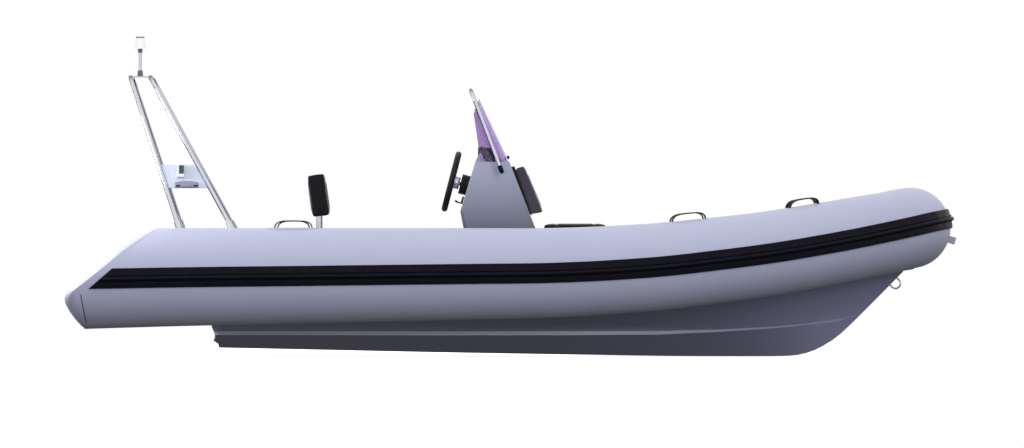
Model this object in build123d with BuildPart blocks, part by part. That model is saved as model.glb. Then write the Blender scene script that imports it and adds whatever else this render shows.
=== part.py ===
from build123d import *
import os
from math import asin, atan2, cos, degrees, radians, sin, sqrt, tan

# Rigid inflatable boat, about 5 m long, with a glass-fibre V hull, an inflatable
# collar, a centre console with a wrap-round windscreen, and a stern light arch.
#
# Frame, in millimetres: +X to the bow, +Y to port, +Z up. The origin is on the
# waterplane, on the centreline, at the middle of the overall length.

os.makedirs("parts", exist_ok=True)

# ---------------------------------------------------------------- collar sizes
TUBE_OFFSET = 798.0        # straight tubes' centreline, from the boat's centreline
TUBE_R_STERN = 277.0       # tube radius at X = STERN_X
TUBE_TAPER = 0.0116        # radius lost for each millimetre forward
STERN_X = -2136.0
BEND_X = 700.0             # where the tubes start to turn in
NOSE_X = 2240.0            # tube centreline at the stem
NOSE_BEND_R = 350.0        # tight bend round the stem
BOW_CHAMBER_X = BEND_X     # baffle between the side and the bow chambers

# radius of the long bow bend, tangent to the straight tube and to the nose bend
NOSE_CENTRE_X = NOSE_X - NOSE_BEND_R
BOW_RUN = NOSE_CENTRE_X - BEND_X
BOW_BEND_R = (BOW_RUN**2 + TUBE_OFFSET**2 - NOSE_BEND_R**2) / (2 * (TUBE_OFFSET - NOSE_BEND_R))
NOSE_HEADING = degrees(asin(BOW_RUN / (BOW_BEND_R - NOSE_BEND_R)))

# sheer of the collar on its straight part:
# x, tube centre height, height of the rubbing strake's middle above that
COLLAR_STRAIGHT = (
    (-2620, 205, 0),
    (-1744, 220, 0),
    (-624, 233, 0),
    (272, 245, 0),
)
# sheer of the collar round the bow: heading from +X in degrees, then the same two
COLLAR_BEND = (
    (0, 268, 0),
    (5, 283, 3),
    (10, 304, 6),
    (15, 326, 9),
    (20, 350, 13),
    (25, 378, 17),
    (30, 407, 21),
    (35.6, 439, 28),
    (NOSE_HEADING, 469, 37),
    (53, 480, 44),
    (65, 487, 49),
    (77.5, 491.5, 52),
    (90, 493, 53),
)


def heading_point(heading):
    """Plan position of the starboard tube's centreline where it has this heading."""
    turn = radians(heading)
    if heading <= NOSE_HEADING:
        return BEND_X + BOW_BEND_R * sin(turn), -TUBE_OFFSET + BOW_BEND_R * (1 - cos(turn))
    return NOSE_CENTRE_X + NOSE_BEND_R * sin(turn), -NOSE_BEND_R * cos(turn)


def tube_radius(x):
    return TUBE_R_STERN - TUBE_TAPER * (x - STERN_X)


# one row for each section of the starboard tube: x, y, z, heading, strake lift
STATIONS = [(x, -TUBE_OFFSET, z, 0.0, lift) for x, z, lift in COLLAR_STRAIGHT]
STATIONS += [(*heading_point(heading), z, heading, lift) for heading, z, lift in COLLAR_BEND]


def station_plane(x, y, z, heading):
    """Upright plane across the tube: its x is outboard, its y is up."""
    turn = radians(heading)
    return Plane(origin=(x, y, z), x_dir=(sin(turn), -cos(turn), 0), z_dir=(-cos(turn), -sin(turn), 0))


def tube_at(x):
    """Starboard tube's centre offset, height and width factor in the plane at x."""
    if x <= BEND_X:
        heading = 0.0
    elif x <= BEND_X + BOW_BEND_R * sin(radians(NOSE_HEADING)):
        heading = degrees(asin((x - BEND_X) / BOW_BEND_R))
    else:
        heading = degrees(asin((x - NOSE_CENTRE_X) / NOSE_BEND_R))
    offset = TUBE_OFFSET if x <= BEND_X else -heading_point(heading)[1]
    for low, high in zip(STATIONS, STATIONS[1:]):
        if low[0] <= x <= high[0]:
            height = low[2] + (high[2] - low[2]) * (x - low[0]) / (high[0] - low[0])
            return offset, height, 1 / cos(radians(heading))
    raise ValueError("no tube at this station")


# the tail of each tube: a slanted cut over a raked one, closed by a bulged cap
TAIL_TOP = (-1982, 489)
TAIL_KNEE = (-2446, 138)
TAIL_FOOT = (-2383, -72)
CAP_CROWN = (-2167, 408)
CAP_EDGE = (-2290, 302)
CAP_TIP_TOP = (-2444, 156)
CAP_TIP = (-2497, 117)
CAP_TIP_LOW = (-2496, 92)
CAP_BELLY = (-2463, 24)
# the same two cuts run on past the tube, above and below
TAIL_TOP_BEYOND = (-1518, 840)
TAIL_FOOT_BEYOND = (-2320, -282)

# ---------------------------------------------------------------- hull sizes
DECK_TOP = 350.0           # the hull moulding's flat top between the tubes
SOLE_TOP = 60.0            # cockpit floor
SOLE_THICK = 30.0
LINER_THICK = 25.0
TRANSOM_FOOT = (-1643.6, -174.0)   # lower after corner, x and z
TRANSOM_RAKE = 17.5        # degrees aft from upright
TRANSOM_THICK = 50.0
TRANSOM_TOP = 470.0
MOTOR_TOP = 334.0          # height of the outboard's cut-out: a 20-inch shaft
MOTOR_HALF = 254.0
TRANSOM_HALF = 620.0
CHINE_ANGLE = 45.0         # where the hull's chine meets the tube, below its equator
CHINE_GAP = 3.0
# where the hull's bonding flange ends inside the tube's outline, before it is cut
FLANGE_IN = 0.35           # of the tube's radius, inboard of its centre
FLANGE_DOWN = 0.5          # and below it

# sections of the hull: x, keel height, strake offset, strake foot and strake top heights
HULL_SECTIONS = (
    (-1950, -170, 222, -104, -84),
    (-1200, -186, 240, -105, -85),
    (-400, -203, 270, -106, -86),
    (300, -215, 292, -105, -85),
    (832, -223, 304, -101, -84),
    (1170, -225, 270, -86, -77),
    (1400, -225, 225, -71, -64),
    (1504, -224, 197, -63, -57),
    (1616, -217, 160, -52, -47),
    (1728, -180, 105, -37, -33),
    (1840, -106, 48, -27, -23),
    (1952, 0, 10, 18, 22),
    (2064, 112, 5, 126, 130),
)
STEM_HEAD = ((0, 250), (6, 258), (8, 260), (30, 280), (60, 330), (60, DECK_TOP))
STEM_HEAD_X = 2200

# half widths of the cockpit's outer mould line: x, half width
COCKPIT_AFT_X = -1950
COCKPIT_OUTLINE = (
    (COCKPIT_AFT_X, 505),
    (200, 505),
    (880, 440),
    (1240, 345),
)
LOCKER = (1330, 1740, 150)         # bow locker: after end, forward end, half width
LOCKER_FLOOR = 110.0
STEM_X = 2300.0
BOW_DECK_THICK = 20.0
BOW_DECK_X = (1215, 1400, 1600, 1800, 1950, 2060)
GUNWALE_OUTLINE = (
    (COCKPIT_AFT_X, 535),
    (880, 535),
    (1215, 486),
)
HATCH_LAP = 20.0
HATCH_CORNER_R = 40.0
HATCH_EDGE_R = 5.0


def hull_outline(x, keel, strake, strake_foot, strake_top):
    """Starboard half of a hull section, from the keel out under the tube and up."""
    offset, height, widen = tube_at(x)
    reach = tube_radius(x) + CHINE_GAP
    chine = (
        offset - reach * widen * cos(radians(CHINE_ANGLE)),
        height - reach * sin(radians(CHINE_ANGLE)),
    )
    flange = (
        offset - FLANGE_IN * tube_radius(x) * widen,
        height - FLANGE_DOWN * tube_radius(x),
    )
    return [(0, keel), (strake, strake_foot), (strake, strake_top), chine, flange, (flange[0], DECK_TOP)]


def both_sides(outline):
    """Close a starboard outline with its own reflection."""
    starboard = [(-offset, height) for offset, height in outline]
    return starboard + list(reversed(outline[1:]))


def transom_x(height):
    """The transom's after face at this height."""
    return TRANSOM_FOOT[0] - (height - TRANSOM_FOOT[1]) * tan(radians(TRANSOM_RAKE))


TRANSOM_DEPTH = TRANSOM_THICK / cos(radians(TRANSOM_RAKE))
FAR_LOW = -400.0
FAR_HIGH = 700.0
FAR_AFT = -3000.0
HALF_BEAM = 1300.0         # wider than anything on the boat, for cutters

# ---------------------------------------------------------------- arch sizes
PIPE_R = 12.5
ARCH_FOOT_OFFSET = 560.0
ARCH_FOOT_TOP = 482.0
ARCH_TOP_OFFSET = 330.0
ARCH_TOP = 1338.0
ARCH_BEND_R = 85.0
ARCH_HOOPS = (
    # name, foot x, top x
    ("arch_rear_hoop", -1857.0, -2136.0),
    ("arch_front_hoop", -1562.0, -2024.0),
)
SOCKET_R = 18.0
SOCKET_LONG = 46.0
SOCKET_FLANGE_R = 34.0
SOCKET_FLANGE_THICK = 6.0
POD_INNER = 330.0
POD_OUTER = 640.0
POD_FRONT_X = -1480.0
POD_CAP_AFT_X = -1905.0
POD_CAP_TOP = 482.0
GUNWALE_TOP = 365.0

# side plates between the legs of the hoops, and what they carry
PLATE_THICK = 4.0
PLATE_LOW = 717.0
PLATE_HIGH = 847.0
LAMP_X = (-1874.0, -1833.0)
LAMP_Z = (773.0, 840.0)
LENS_X = (-1860.0, -1833.0)
LENS_Z = (790.0, 836.0)
LAMP_DEPTH = 26.0
LENS_DEEP = 6.0
LENS_PROUD = 3.0
HORN_DEPTH = 24.0
TOP_PLATE_HALF = 200.0
HORN_X = (-1879.0, -1755.0)
HORN_Z = (718.0, 749.0)
MAST_X = -2086.0
MAST_BASE_R = 17.0
MAST_POLE_R = 8.5
MAST_LEVELS = (1344.0, 1378.0, 1478.0, 1500.0)    # plate top, base top, collar foot, lamp foot
LAMP_FOOT_R = 32.0
LAMP_HEAD_R = 25.0
LAMP_HEAD_TOP = 1560.0
LAMP_CAP_TOP = 1568.0

# ---------------------------------------------------------------- console sizes
# levels of the console: height, after x, forward x, half width,
# length and depth of the after corners' facet, and of the forward corners'
CONSOLE_LEVELS = (
    (SOLE_TOP, -186.0, 304.0, 320.0, 60.0, 50.0, 118.0, 130.0),
    (585.8, -287.3, 97.2, 287.0, 12.0, 12.0, 118.0, 85.0),
    (864.6, -203.3, -12.3, 270.0, 10.0, 10.0, 118.0, 40.0),
)
CONSOLE_TOP = CONSOLE_LEVELS[-1][0]
LIP_SIDE = ((-203.3, CONSOLE_TOP), (-180.3, 911.0), (-168.0, 911.0), (-150.0, CONSOLE_TOP))
LIP_HALF = 225.0
DASH_SIDE = ((-148.0, CONSOLE_TOP), (-166.0, 948.0), (-118.0, 940.0), (-52.0, CONSOLE_TOP))
DASH_HALF = 215.0

# windscreen: half widths and front corners of its plan at foot and head
SCREEN_HEAD_Z = 1225.0
SCREEN_LEAN = 0.471        # aft for each millimetre up, at the middle
SCREEN_FOOT_FRONT_X = -14.0
SCREEN_FOOT_HALF = 262.0
SCREEN_HEAD_HALF = 222.0
SCREEN_CORNER_R = 95.0
SCREEN_BACK_X = -330.0
SCREEN_THICK = 5.0
SCREEN_SIDE = (
    (-176.0, CONSOLE_TOP),
    (-182.6, 932.0),
    (-212.0, 1129.0),
    (-201.6, 1168.0),
    (-181.0, 1221.0),
    (-150.0, 1221.0),
    (10.0, CONSOLE_TOP),
)
RAIL_PIPE_R = 11.0
RAIL_FOOT = (-58.8, 299.0, 820.0)
RAIL_HEAD = (-228.0, 236.0, 1265.0)
RAIL_BEND_R = 70.0
RAIL_STAND_UP = 14.0       # the standoff's height above the rail's foot
RAIL_STAND_R = 8.0
RAIL_STAND_SINK = 4.0

# ---------------------------------------------------------------- helm sizes
WHEEL_CENTRE = (-337.0, 0.0, 754.0)
WHEEL_TILT = 14.5
WHEEL_AXIS = (-cos(radians(WHEEL_TILT)), 0.0, sin(radians(WHEEL_TILT)))
WHEEL_RIM_R = 157.0
WHEEL_GRIP_R = 17.0
WHEEL_HUB_R = 31.0
WHEEL_HUB_BACK = 46.0
SHAFT_R = 9.5
SHAFT_LONG = 80.0
SHAFT_CLEARANCE = 0.05
BEZEL_START = 51.5
BEZEL_R = 56.0
BEZEL_LONG = 60.0
SPOKES = 3
SPOKE_WIDE = 26.0
SPOKE_THICK = 9.0

# ---------------------------------------------------------------- seats
FRONT_SEAT = (169.7, 544.9, 245.0)      # after x, forward x, half width
FRONT_SEAT_TOP = 440.0
FRONT_CUSHION_TOP = 512.0
HELM_SEAT = (-1060.0, -640.0, 300.0)
HELM_SEAT_TOP = 370.0
HELM_CUSHION_TOP = 462.0
HELM_CUSHION_AFT_X = -1040.0
CUSHION_CORNER_R = 40.0
CUSHION_EDGE_R = 14.0
SEAT_WALL = 20.0
LID_GAP = 5.0
LID_THICK = 15.0
BACK_PAD_BOARD = ((7.0, 838.0), (17.0, 838.0), (117.0, 566.0), (107.0, 566.0))
BACK_PAD = ((19.5, 833.8), (62.7, 846.7), (180.3, 575.0), (119.5, 564.5))
BACK_PAD_HALF = 215.0
REST_PAD = ((-1144.0, 789.0), (-1055.0, 802.0), (-1022.0, 580.0), (-1026.0, 560.0), (-1113.0, 550.0))
REST_PAD_HALF = 265.0
REST_POST_R = 17.0
REST_POST_OFFSET = 170.0
REST_POST_X = -1080.0
REST_POST_TOP = 565.0
REST_CLAMP_Z = (130.0, 310.0)

# ---------------------------------------------------------------- eyes and patches
EYE_SINK = 5.0
BOW_EYE = (2144.5, 0.0, 194.0)
BOW_EYE_SPREAD = 55.0
BOW_EYE_REACH = 46.0
BOW_EYE_ROD_R = 4.5
STERN_EYE_OFFSET = 410.0
STERN_EYE_Z = 230.0
STERN_EYE_SPREAD = 50.0
STERN_EYE_REACH = 42.0
DRAIN_Z = -134.0
DRAIN_R = 20.0
DRAIN_THICK = 8.0
TOW_PATCH_SIDE = ((2452.0, 451.0), (2499.0, 438.0), (2488.0, 398.0), (2440.0, 414.0))
TOW_PATCH_HALF = 20.0

# ---------------------------------------------------------------- collar fittings
STRAKE_HALF = 56.0         # half the rubbing strake's height
STRAKE_BAND = 8.0
STRAKE_RIDGE = 23.0
STRAKE_RIDGE_HALF = 17.0
STRAKE_RIDGE_SLOPE = 6.0
STRAKE_END_LOW_X = -2966.0         # the strake's slanted after end, at FAR_LOW
STRAKE_END_HIGH_X = -1774.0        # and at FAR_HIGH
STRAKE_SINK = 2.0
HANDLES = (
    # x, half length of the loop, half length of its patch
    (-1225.0, 98.0, 134.0),
    (990.0, 95.0, 146.0),
    (1634.0, 90.0, 129.0),
)
HANDLE_HIGH = 40.0
HANDLE_STRAP_HALF = 15.0
HANDLE_STRAP_THICK = 6.0
HANDLE_SINK = 4.0
HANDLE_SHOULDER = 0.62
HANDLE_BEND_R = 22.0
PATCH_CORNER_R = 25.0
PATCH_HALF = 60.0
PATCH_THICK = 2.0


def after_of(x_low, x_high):
    """Side outline of everything aft of a raked line, to cut a piece's after end."""
    return (x_low, FAR_LOW), (x_high, FAR_HIGH), (FAR_AFT, FAR_HIGH), (FAR_AFT, FAR_LOW)


TRANSOM_FRONT = after_of(transom_x(FAR_LOW) + TRANSOM_DEPTH, transom_x(FAR_HIGH) + TRANSOM_DEPTH)

# ---------------------------------------------------------------- collar
with BuildPart() as collar_form:
    for x, y, z, heading, lift in STATIONS:
        with BuildSketch(station_plane(x, y, z, heading)):
            Circle(tube_radius(x))
    loft(ruled=True)

with BuildPart() as collar_bow:
    add(collar_form.part)
    split(bisect_by=Plane.YZ.offset(BOW_CHAMBER_X), keep=Keep.TOP)

with BuildPart() as collar_side:
    add(collar_form.part)
    split(bisect_by=Plane.YZ.offset(BOW_CHAMBER_X), keep=Keep.BOTTOM)
    with BuildSketch(Plane.XZ):
        with BuildLine():
            Polyline(
                TAIL_TOP_BEYOND, TAIL_KNEE, TAIL_FOOT_BEYOND,
                (FAR_AFT, FAR_LOW), (FAR_AFT, FAR_HIGH), close=True,
            )
        make_face()
    extrude(amount=HALF_BEAM, both=True, mode=Mode.SUBTRACT)

with BuildPart() as tail_cap:
    with BuildSketch(Plane.XZ):
        with BuildLine():
            ThreePointArc(TAIL_TOP, CAP_CROWN, CAP_EDGE)
            Line(CAP_EDGE, CAP_TIP_TOP)
            ThreePointArc(CAP_TIP_TOP, CAP_TIP, CAP_TIP_LOW)
            ThreePointArc(CAP_TIP_LOW, CAP_BELLY, TAIL_FOOT)
            Polyline(TAIL_FOOT, TAIL_KNEE, TAIL_TOP)
        make_face()
    extrude(amount=HALF_BEAM, both=True)
    add(collar_form.part, mode=Mode.INTERSECT)

# ---------------------------------------------------------------- hull mouldings
with BuildPart() as hull_form:
    for section in HULL_SECTIONS:
        with BuildSketch(Plane.YZ.offset(section[0])):
            with BuildLine():
                Polyline(*both_sides(hull_outline(*section)), close=True)
            make_face()
    with BuildSketch(Plane.YZ.offset(STEM_HEAD_X)):
        with BuildLine():
            Polyline(*both_sides(STEM_HEAD), close=True)
        make_face()
    loft(ruled=True)


def plan_outline(half_widths, step=0.0):
    """Plan outline of a cockpit mould line, moved in by a step on its sides and front."""
    starboard = [(x, step - half) for x, half in half_widths[:-1]]
    last_x, last_half = half_widths[-1]
    starboard.append((last_x - step, step - last_half))
    return starboard + [(x, -y) for x, y in reversed(starboard)]


with BuildPart() as hull_mould:
    add(hull_form.part)
    with BuildSketch(Plane.XZ):
        with BuildLine():
            Polyline(*TRANSOM_FRONT, close=True)
        make_face()
    extrude(amount=HALF_BEAM, both=True, mode=Mode.SUBTRACT)
    with BuildSketch(Plane.XY.offset(SOLE_TOP - SOLE_THICK)):
        with BuildLine():
            Polyline(*plan_outline(COCKPIT_OUTLINE), close=True)
        make_face()
    extrude(amount=DECK_TOP, mode=Mode.SUBTRACT)
    with BuildSketch(Plane.XY.offset(LOCKER_FLOOR)):
        with Locations(((LOCKER[0] + LOCKER[1]) / 2, 0)):
            Rectangle(LOCKER[1] - LOCKER[0], 2 * LOCKER[2])
    extrude(amount=DECK_TOP, mode=Mode.SUBTRACT)
    add(collar_form.part, mode=Mode.SUBTRACT)
    mirror(collar_form.part, about=Plane.XZ, mode=Mode.SUBTRACT)

# the moulding's compartments: x, y and z of two opposite corners
SOLE_FOOT = SOLE_TOP - SOLE_THICK
COCKPIT_FRONT = COCKPIT_OUTLINE[-1][0]
HULL_COMPARTMENTS = (
    ((FAR_AFT, STEM_X), (-HALF_BEAM, HALF_BEAM), (FAR_LOW, SOLE_FOOT)),
    ((FAR_AFT, COCKPIT_FRONT), (-HALF_BEAM, 0), (SOLE_FOOT, DECK_TOP)),
    ((FAR_AFT, COCKPIT_FRONT), (0, HALF_BEAM), (SOLE_FOOT, DECK_TOP)),
    ((COCKPIT_FRONT, STEM_X), (-HALF_BEAM, -LOCKER[2]), (SOLE_FOOT, DECK_TOP)),
    ((COCKPIT_FRONT, STEM_X), (LOCKER[2], HALF_BEAM), (SOLE_FOOT, DECK_TOP)),
    ((COCKPIT_FRONT, LOCKER[0]), (-LOCKER[2], LOCKER[2]), (SOLE_FOOT, DECK_TOP)),
    ((LOCKER[0], LOCKER[1]), (-LOCKER[2], LOCKER[2]), (SOLE_FOOT, LOCKER_FLOOR)),
    ((LOCKER[1], STEM_X), (-LOCKER[2], LOCKER[2]), (SOLE_FOOT, DECK_TOP)),
)
hull_blocks = []
for (x_low, x_high), (y_low, y_high), (z_low, z_high) in HULL_COMPARTMENTS:
    with BuildPart() as hull_block:
        with BuildSketch(Plane.XY.offset(z_low)):
            with Locations(((x_low + x_high) / 2, (y_low + y_high) / 2)):
                Rectangle(x_high - x_low, y_high - y_low)
        extrude(amount=z_high - z_low)
        add(hull_mould.part, mode=Mode.INTERSECT)
    hull_blocks += hull_block.solids()
hull = Compound(hull_blocks, label="hull")
export_step(hull, "parts/hull.step")

with BuildPart() as deck_liner:
    with BuildSketch(Plane.XY.offset(SOLE_TOP - SOLE_THICK)):
        with BuildLine():
            Polyline(*plan_outline(COCKPIT_OUTLINE), close=True)
        make_face()
    extrude(amount=DECK_TOP - SOLE_TOP + SOLE_THICK)
    with BuildSketch(Plane.XY.offset(DECK_TOP)):
        with BuildLine():
            Polyline(*plan_outline(GUNWALE_OUTLINE), close=True)
        make_face()
    extrude(amount=GUNWALE_TOP - DECK_TOP)
    with BuildSketch(Plane.XY.offset(SOLE_TOP)):
        with BuildLine():
            Polyline(*plan_outline(COCKPIT_OUTLINE, LINER_THICK), close=True)
        make_face()
    extrude(amount=GUNWALE_TOP, mode=Mode.SUBTRACT)
    with BuildSketch(Plane.XZ):
        with BuildLine():
            Polyline(*TRANSOM_FRONT, close=True)
        make_face()
    extrude(amount=HALF_BEAM, both=True, mode=Mode.SUBTRACT)
    add(collar_form.part, mode=Mode.SUBTRACT)
    mirror(collar_form.part, about=Plane.XZ, mode=Mode.SUBTRACT)
deck_liner.part.label = "deck_liner"
export_step(deck_liner.part, "parts/deck_liner.step")

with BuildPart() as bow_deck:
    with BuildSketch(Plane.XY.offset(DECK_TOP)):
        with BuildLine():
            Polyline(*plan_outline([(x, tube_at(x)[0]) for x in BOW_DECK_X]), close=True)
        make_face()
        with Locations(((LOCKER[0] + LOCKER[1]) / 2, 0)):
            Rectangle(LOCKER[1] - LOCKER[0], 2 * LOCKER[2], mode=Mode.SUBTRACT)
    extrude(amount=BOW_DECK_THICK)
    add(collar_form.part, mode=Mode.SUBTRACT)
    mirror(collar_form.part, about=Plane.XZ, mode=Mode.SUBTRACT)
bow_deck.part.label = "bow_deck"
export_step(bow_deck.part, "parts/bow_deck.step")

with BuildPart() as bow_hatch:
    with BuildSketch(Plane.XY.offset(DECK_TOP + BOW_DECK_THICK + LID_GAP)):
        with Locations(((LOCKER[0] + LOCKER[1]) / 2, 0)):
            RectangleRounded(
                LOCKER[1] - LOCKER[0] + 2 * HATCH_LAP, 2 * (LOCKER[2] + HATCH_LAP), HATCH_CORNER_R
            )
    extrude(amount=LID_THICK)
    fillet(bow_hatch.faces().sort_by(Axis.Z)[-1].edges(), HATCH_EDGE_R)
bow_hatch.part.label = "bow_hatch"
export_step(bow_hatch.part, "parts/bow_hatch.step")

with BuildPart() as transom:
    add(hull_form.part)
    with BuildSketch(Plane.XY.offset(DECK_TOP)):
        with Locations((transom_x(TRANSOM_TOP), 0)):
            Rectangle(4 * TRANSOM_THICK, 2 * TRANSOM_HALF)
    extrude(amount=TRANSOM_TOP - DECK_TOP)
    with BuildSketch(Plane.XZ.offset(-HALF_BEAM)):
        with BuildLine():
            Polyline(
                (transom_x(FAR_LOW), FAR_LOW),
                (transom_x(FAR_LOW) + TRANSOM_DEPTH, FAR_LOW),
                (transom_x(TRANSOM_TOP) + TRANSOM_DEPTH, TRANSOM_TOP),
                (transom_x(TRANSOM_TOP), TRANSOM_TOP),
                close=True,
            )
        make_face()
    extrude(amount=2 * HALF_BEAM, mode=Mode.INTERSECT)
    with BuildSketch(Plane.YZ):
        with BuildLine():
            Polyline(
                (-MOTOR_HALF, MOTOR_TOP), (MOTOR_HALF, MOTOR_TOP),
                (POD_INNER, TRANSOM_TOP + 1), (-POD_INNER, TRANSOM_TOP + 1), close=True,
            )
        make_face()
    extrude(amount=FAR_AFT, mode=Mode.SUBTRACT)
    add(collar_form.part, mode=Mode.SUBTRACT)
    mirror(collar_form.part, about=Plane.XZ, mode=Mode.SUBTRACT)
transom.part.label = "transom"
export_step(transom.part, "parts/transom.step")

# moulded side pods that carry the arch, from the sole up and over the gunwale
with BuildPart() as stern_pod:
    with BuildSketch(Plane.YZ.offset(POD_FRONT_X)):
        with BuildLine():
            inner_wall = LINER_THICK - COCKPIT_OUTLINE[0][1]
            Polyline(
                (-POD_INNER, SOLE_TOP), (inner_wall, SOLE_TOP), (inner_wall, GUNWALE_TOP),
                (-POD_OUTER, GUNWALE_TOP), (-POD_OUTER, TRANSOM_TOP), (-POD_INNER, TRANSOM_TOP),
                close=True,
            )
        make_face()
    extrude(amount=-HALF_BEAM)
    with BuildSketch(Plane.XZ):
        with BuildLine():
            Polyline(*TRANSOM_FRONT, close=True)
        make_face()
    extrude(amount=HALF_BEAM, both=True, mode=Mode.SUBTRACT)
    with BuildSketch(Plane.XY.offset(TRANSOM_TOP)):
        with Locations(((POD_FRONT_X + POD_CAP_AFT_X) / 2, -(POD_INNER + POD_OUTER) / 2)):
            RectangleRounded(POD_FRONT_X - POD_CAP_AFT_X, POD_OUTER - POD_INNER, HATCH_CORNER_R)
    extrude(amount=POD_CAP_TOP - TRANSOM_TOP)
    add(collar_form.part, mode=Mode.SUBTRACT)

# ---------------------------------------------------------------- collar fittings
def strake_section(radius, lift):
    """Section of the rubbing strake across the tube: a flat band with a blunt ridge."""
    def face(height, proud):
        return sqrt(radius**2 - (lift + height) ** 2) + proud, lift + height

    ridge_x = face(0, STRAKE_RIDGE)[0]
    ridge_top = lift + STRAKE_RIDGE_HALF - STRAKE_RIDGE_SLOPE
    ridge_low = lift - STRAKE_RIDGE_HALF + STRAKE_RIDGE_SLOPE
    outer = [
        face(-STRAKE_HALF, STRAKE_BAND), face(-STRAKE_RIDGE_HALF, STRAKE_BAND),
        (ridge_x, ridge_low), (ridge_x, ridge_top),
        face(STRAKE_RIDGE_HALF, STRAKE_BAND), face(STRAKE_HALF, STRAKE_BAND),
    ]
    return outer, face(STRAKE_HALF, -STRAKE_SINK), face(0, -STRAKE_SINK), face(-STRAKE_HALF, -STRAKE_SINK)


with BuildPart() as strake_form:
    for x, y, z, heading, lift in STATIONS:
        outer, inner_top, inner_middle, inner_foot = strake_section(tube_radius(x), lift)
        with BuildSketch(station_plane(x, y, z, heading)):
            with BuildLine():
                Polyline(inner_foot, *outer, inner_top)
                ThreePointArc(inner_top, inner_middle, inner_foot)
            make_face()
    loft(ruled=True)

with BuildPart() as strake_bow:
    add(strake_form.part)
    split(bisect_by=Plane.YZ.offset(BOW_CHAMBER_X), keep=Keep.TOP)

with BuildPart() as strake_side:
    add(strake_form.part)
    split(bisect_by=Plane.YZ.offset(BOW_CHAMBER_X), keep=Keep.BOTTOM)
    with BuildSketch(Plane.XZ):
        with BuildLine():
            Polyline(*after_of(STRAKE_END_LOW_X, STRAKE_END_HIGH_X), close=True)
        make_face()
    extrude(amount=HALF_BEAM, both=True, mode=Mode.SUBTRACT)


def crown(x):
    """Top of the starboard tube at x: the point, its heading and its fore-and-aft slope."""
    offset, height, widen = tube_at(x)
    ahead, behind = tube_at(x + 50), tube_at(x - 50)
    turn = 0.0 if x <= BEND_X else asin((x - BEND_X) / BOW_BEND_R)
    slope = (ahead[1] + tube_radius(x + 50) - behind[1] - tube_radius(x - 50)) * cos(turn) / 100
    return (x, -offset, height + tube_radius(x)), turn, slope


def handle_loop(x, half_length):
    """One strap handle standing along the tube's crown."""
    point, turn, slope = crown(x)
    with BuildPart() as loop:
        with BuildSketch(
            Plane(
                origin=point,
                x_dir=(cos(turn), sin(turn), slope),
                z_dir=(sin(turn), -cos(turn), 0),
            )
        ):
            with BuildLine() as outside:
                FilletPolyline(
                    (-half_length, -HANDLE_SINK),
                    (-half_length * HANDLE_SHOULDER, HANDLE_HIGH),
                    (half_length * HANDLE_SHOULDER, HANDLE_HIGH),
                    (half_length, -HANDLE_SINK),
                    radius=HANDLE_BEND_R,
                )
                offset(amount=HANDLE_STRAP_THICK, side=Side.RIGHT)
            make_face()
        extrude(amount=HANDLE_STRAP_HALF, both=True)
    return loop.part


with BuildPart() as collar_skin:
    for x, y, z, heading, lift in STATIONS:
        with BuildSketch(station_plane(x, y, z, heading)):
            Circle(tube_radius(x) + PATCH_THICK)
    loft(ruled=True)

with BuildPart() as handle_patches:
    for x, half_loop, half_patch in HANDLES:
        point, turn, slope = crown(x)
        centre = (point[0], point[1], point[2] - TUBE_R_STERN / 2)
        with BuildSketch(Plane(origin=centre, x_dir=(cos(turn), sin(turn), 0), z_dir=(0, 0, 1))):
            RectangleRounded(2 * half_patch, 2 * PATCH_HALF, PATCH_CORNER_R)
        extrude(amount=TUBE_R_STERN)
    add(collar_skin.part, mode=Mode.INTERSECT)
    add(collar_form.part, mode=Mode.SUBTRACT)

# ---------------------------------------------------------------- arch
ARCH_SPREAD = ARCH_FOOT_OFFSET - ARCH_TOP_OFFSET
ARCH_RISE = ARCH_TOP - POD_CAP_TOP - SOCKET_FLANGE_THICK
LEG_LEAN = atan2(ARCH_SPREAD, ARCH_RISE)
HOOP_FOOT_Z = POD_CAP_TOP + SOCKET_FLANGE_THICK


def leg_x(foot_x, top_x, height):
    return foot_x + (top_x - foot_x) * (height - HOOP_FOOT_Z) / ARCH_RISE


def leg_direction(foot_x, top_x):
    """Unit vector up the starboard leg of a hoop."""
    return Vector(top_x - foot_x, ARCH_SPREAD, ARCH_RISE).normalized()


with BuildPart() as arch_sockets:
    for name, foot_x, top_x in ARCH_HOOPS:
        up = leg_direction(foot_x, top_x)
        foot = Vector(foot_x, -ARCH_FOOT_OFFSET, HOOP_FOOT_Z)
        with BuildSketch(Plane(origin=foot - up * SOCKET_LONG, z_dir=up)):
            Circle(SOCKET_R)
        extrude(amount=2 * SOCKET_LONG)
        with BuildSketch(Plane.XY.offset(POD_CAP_TOP)):
            with Locations((foot_x, -ARCH_FOOT_OFFSET)):
                Circle(SOCKET_FLANGE_R)
        extrude(amount=SOCKET_FLANGE_THICK)
    split(bisect_by=Plane.XY.offset(POD_CAP_TOP), keep=Keep.TOP)
    mirror(about=Plane.XZ)
arch_sockets.part.label = "arch_sockets"
export_step(arch_sockets.part, "parts/arch_sockets.step")

for name, foot_x, top_x in ARCH_HOOPS:
    start = Vector(foot_x, -ARCH_FOOT_OFFSET, HOOP_FOOT_Z) + leg_direction(foot_x, top_x) * SOCKET_LONG
    with BuildPart() as hoop:
        with BuildLine() as hoop_line:
            FilletPolyline(
                start,
                (top_x, -ARCH_TOP_OFFSET, ARCH_TOP),
                (top_x, ARCH_TOP_OFFSET, ARCH_TOP),
                (start.X, -start.Y, start.Z),
                radius=ARCH_BEND_R,
            )
        with BuildSketch(Plane(origin=hoop_line.line @ 0, z_dir=hoop_line.line % 0)):
            Circle(PIPE_R)
        sweep()
    hoop.part.label = name
    export_step(hoop.part, f"parts/{name}.step")

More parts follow.
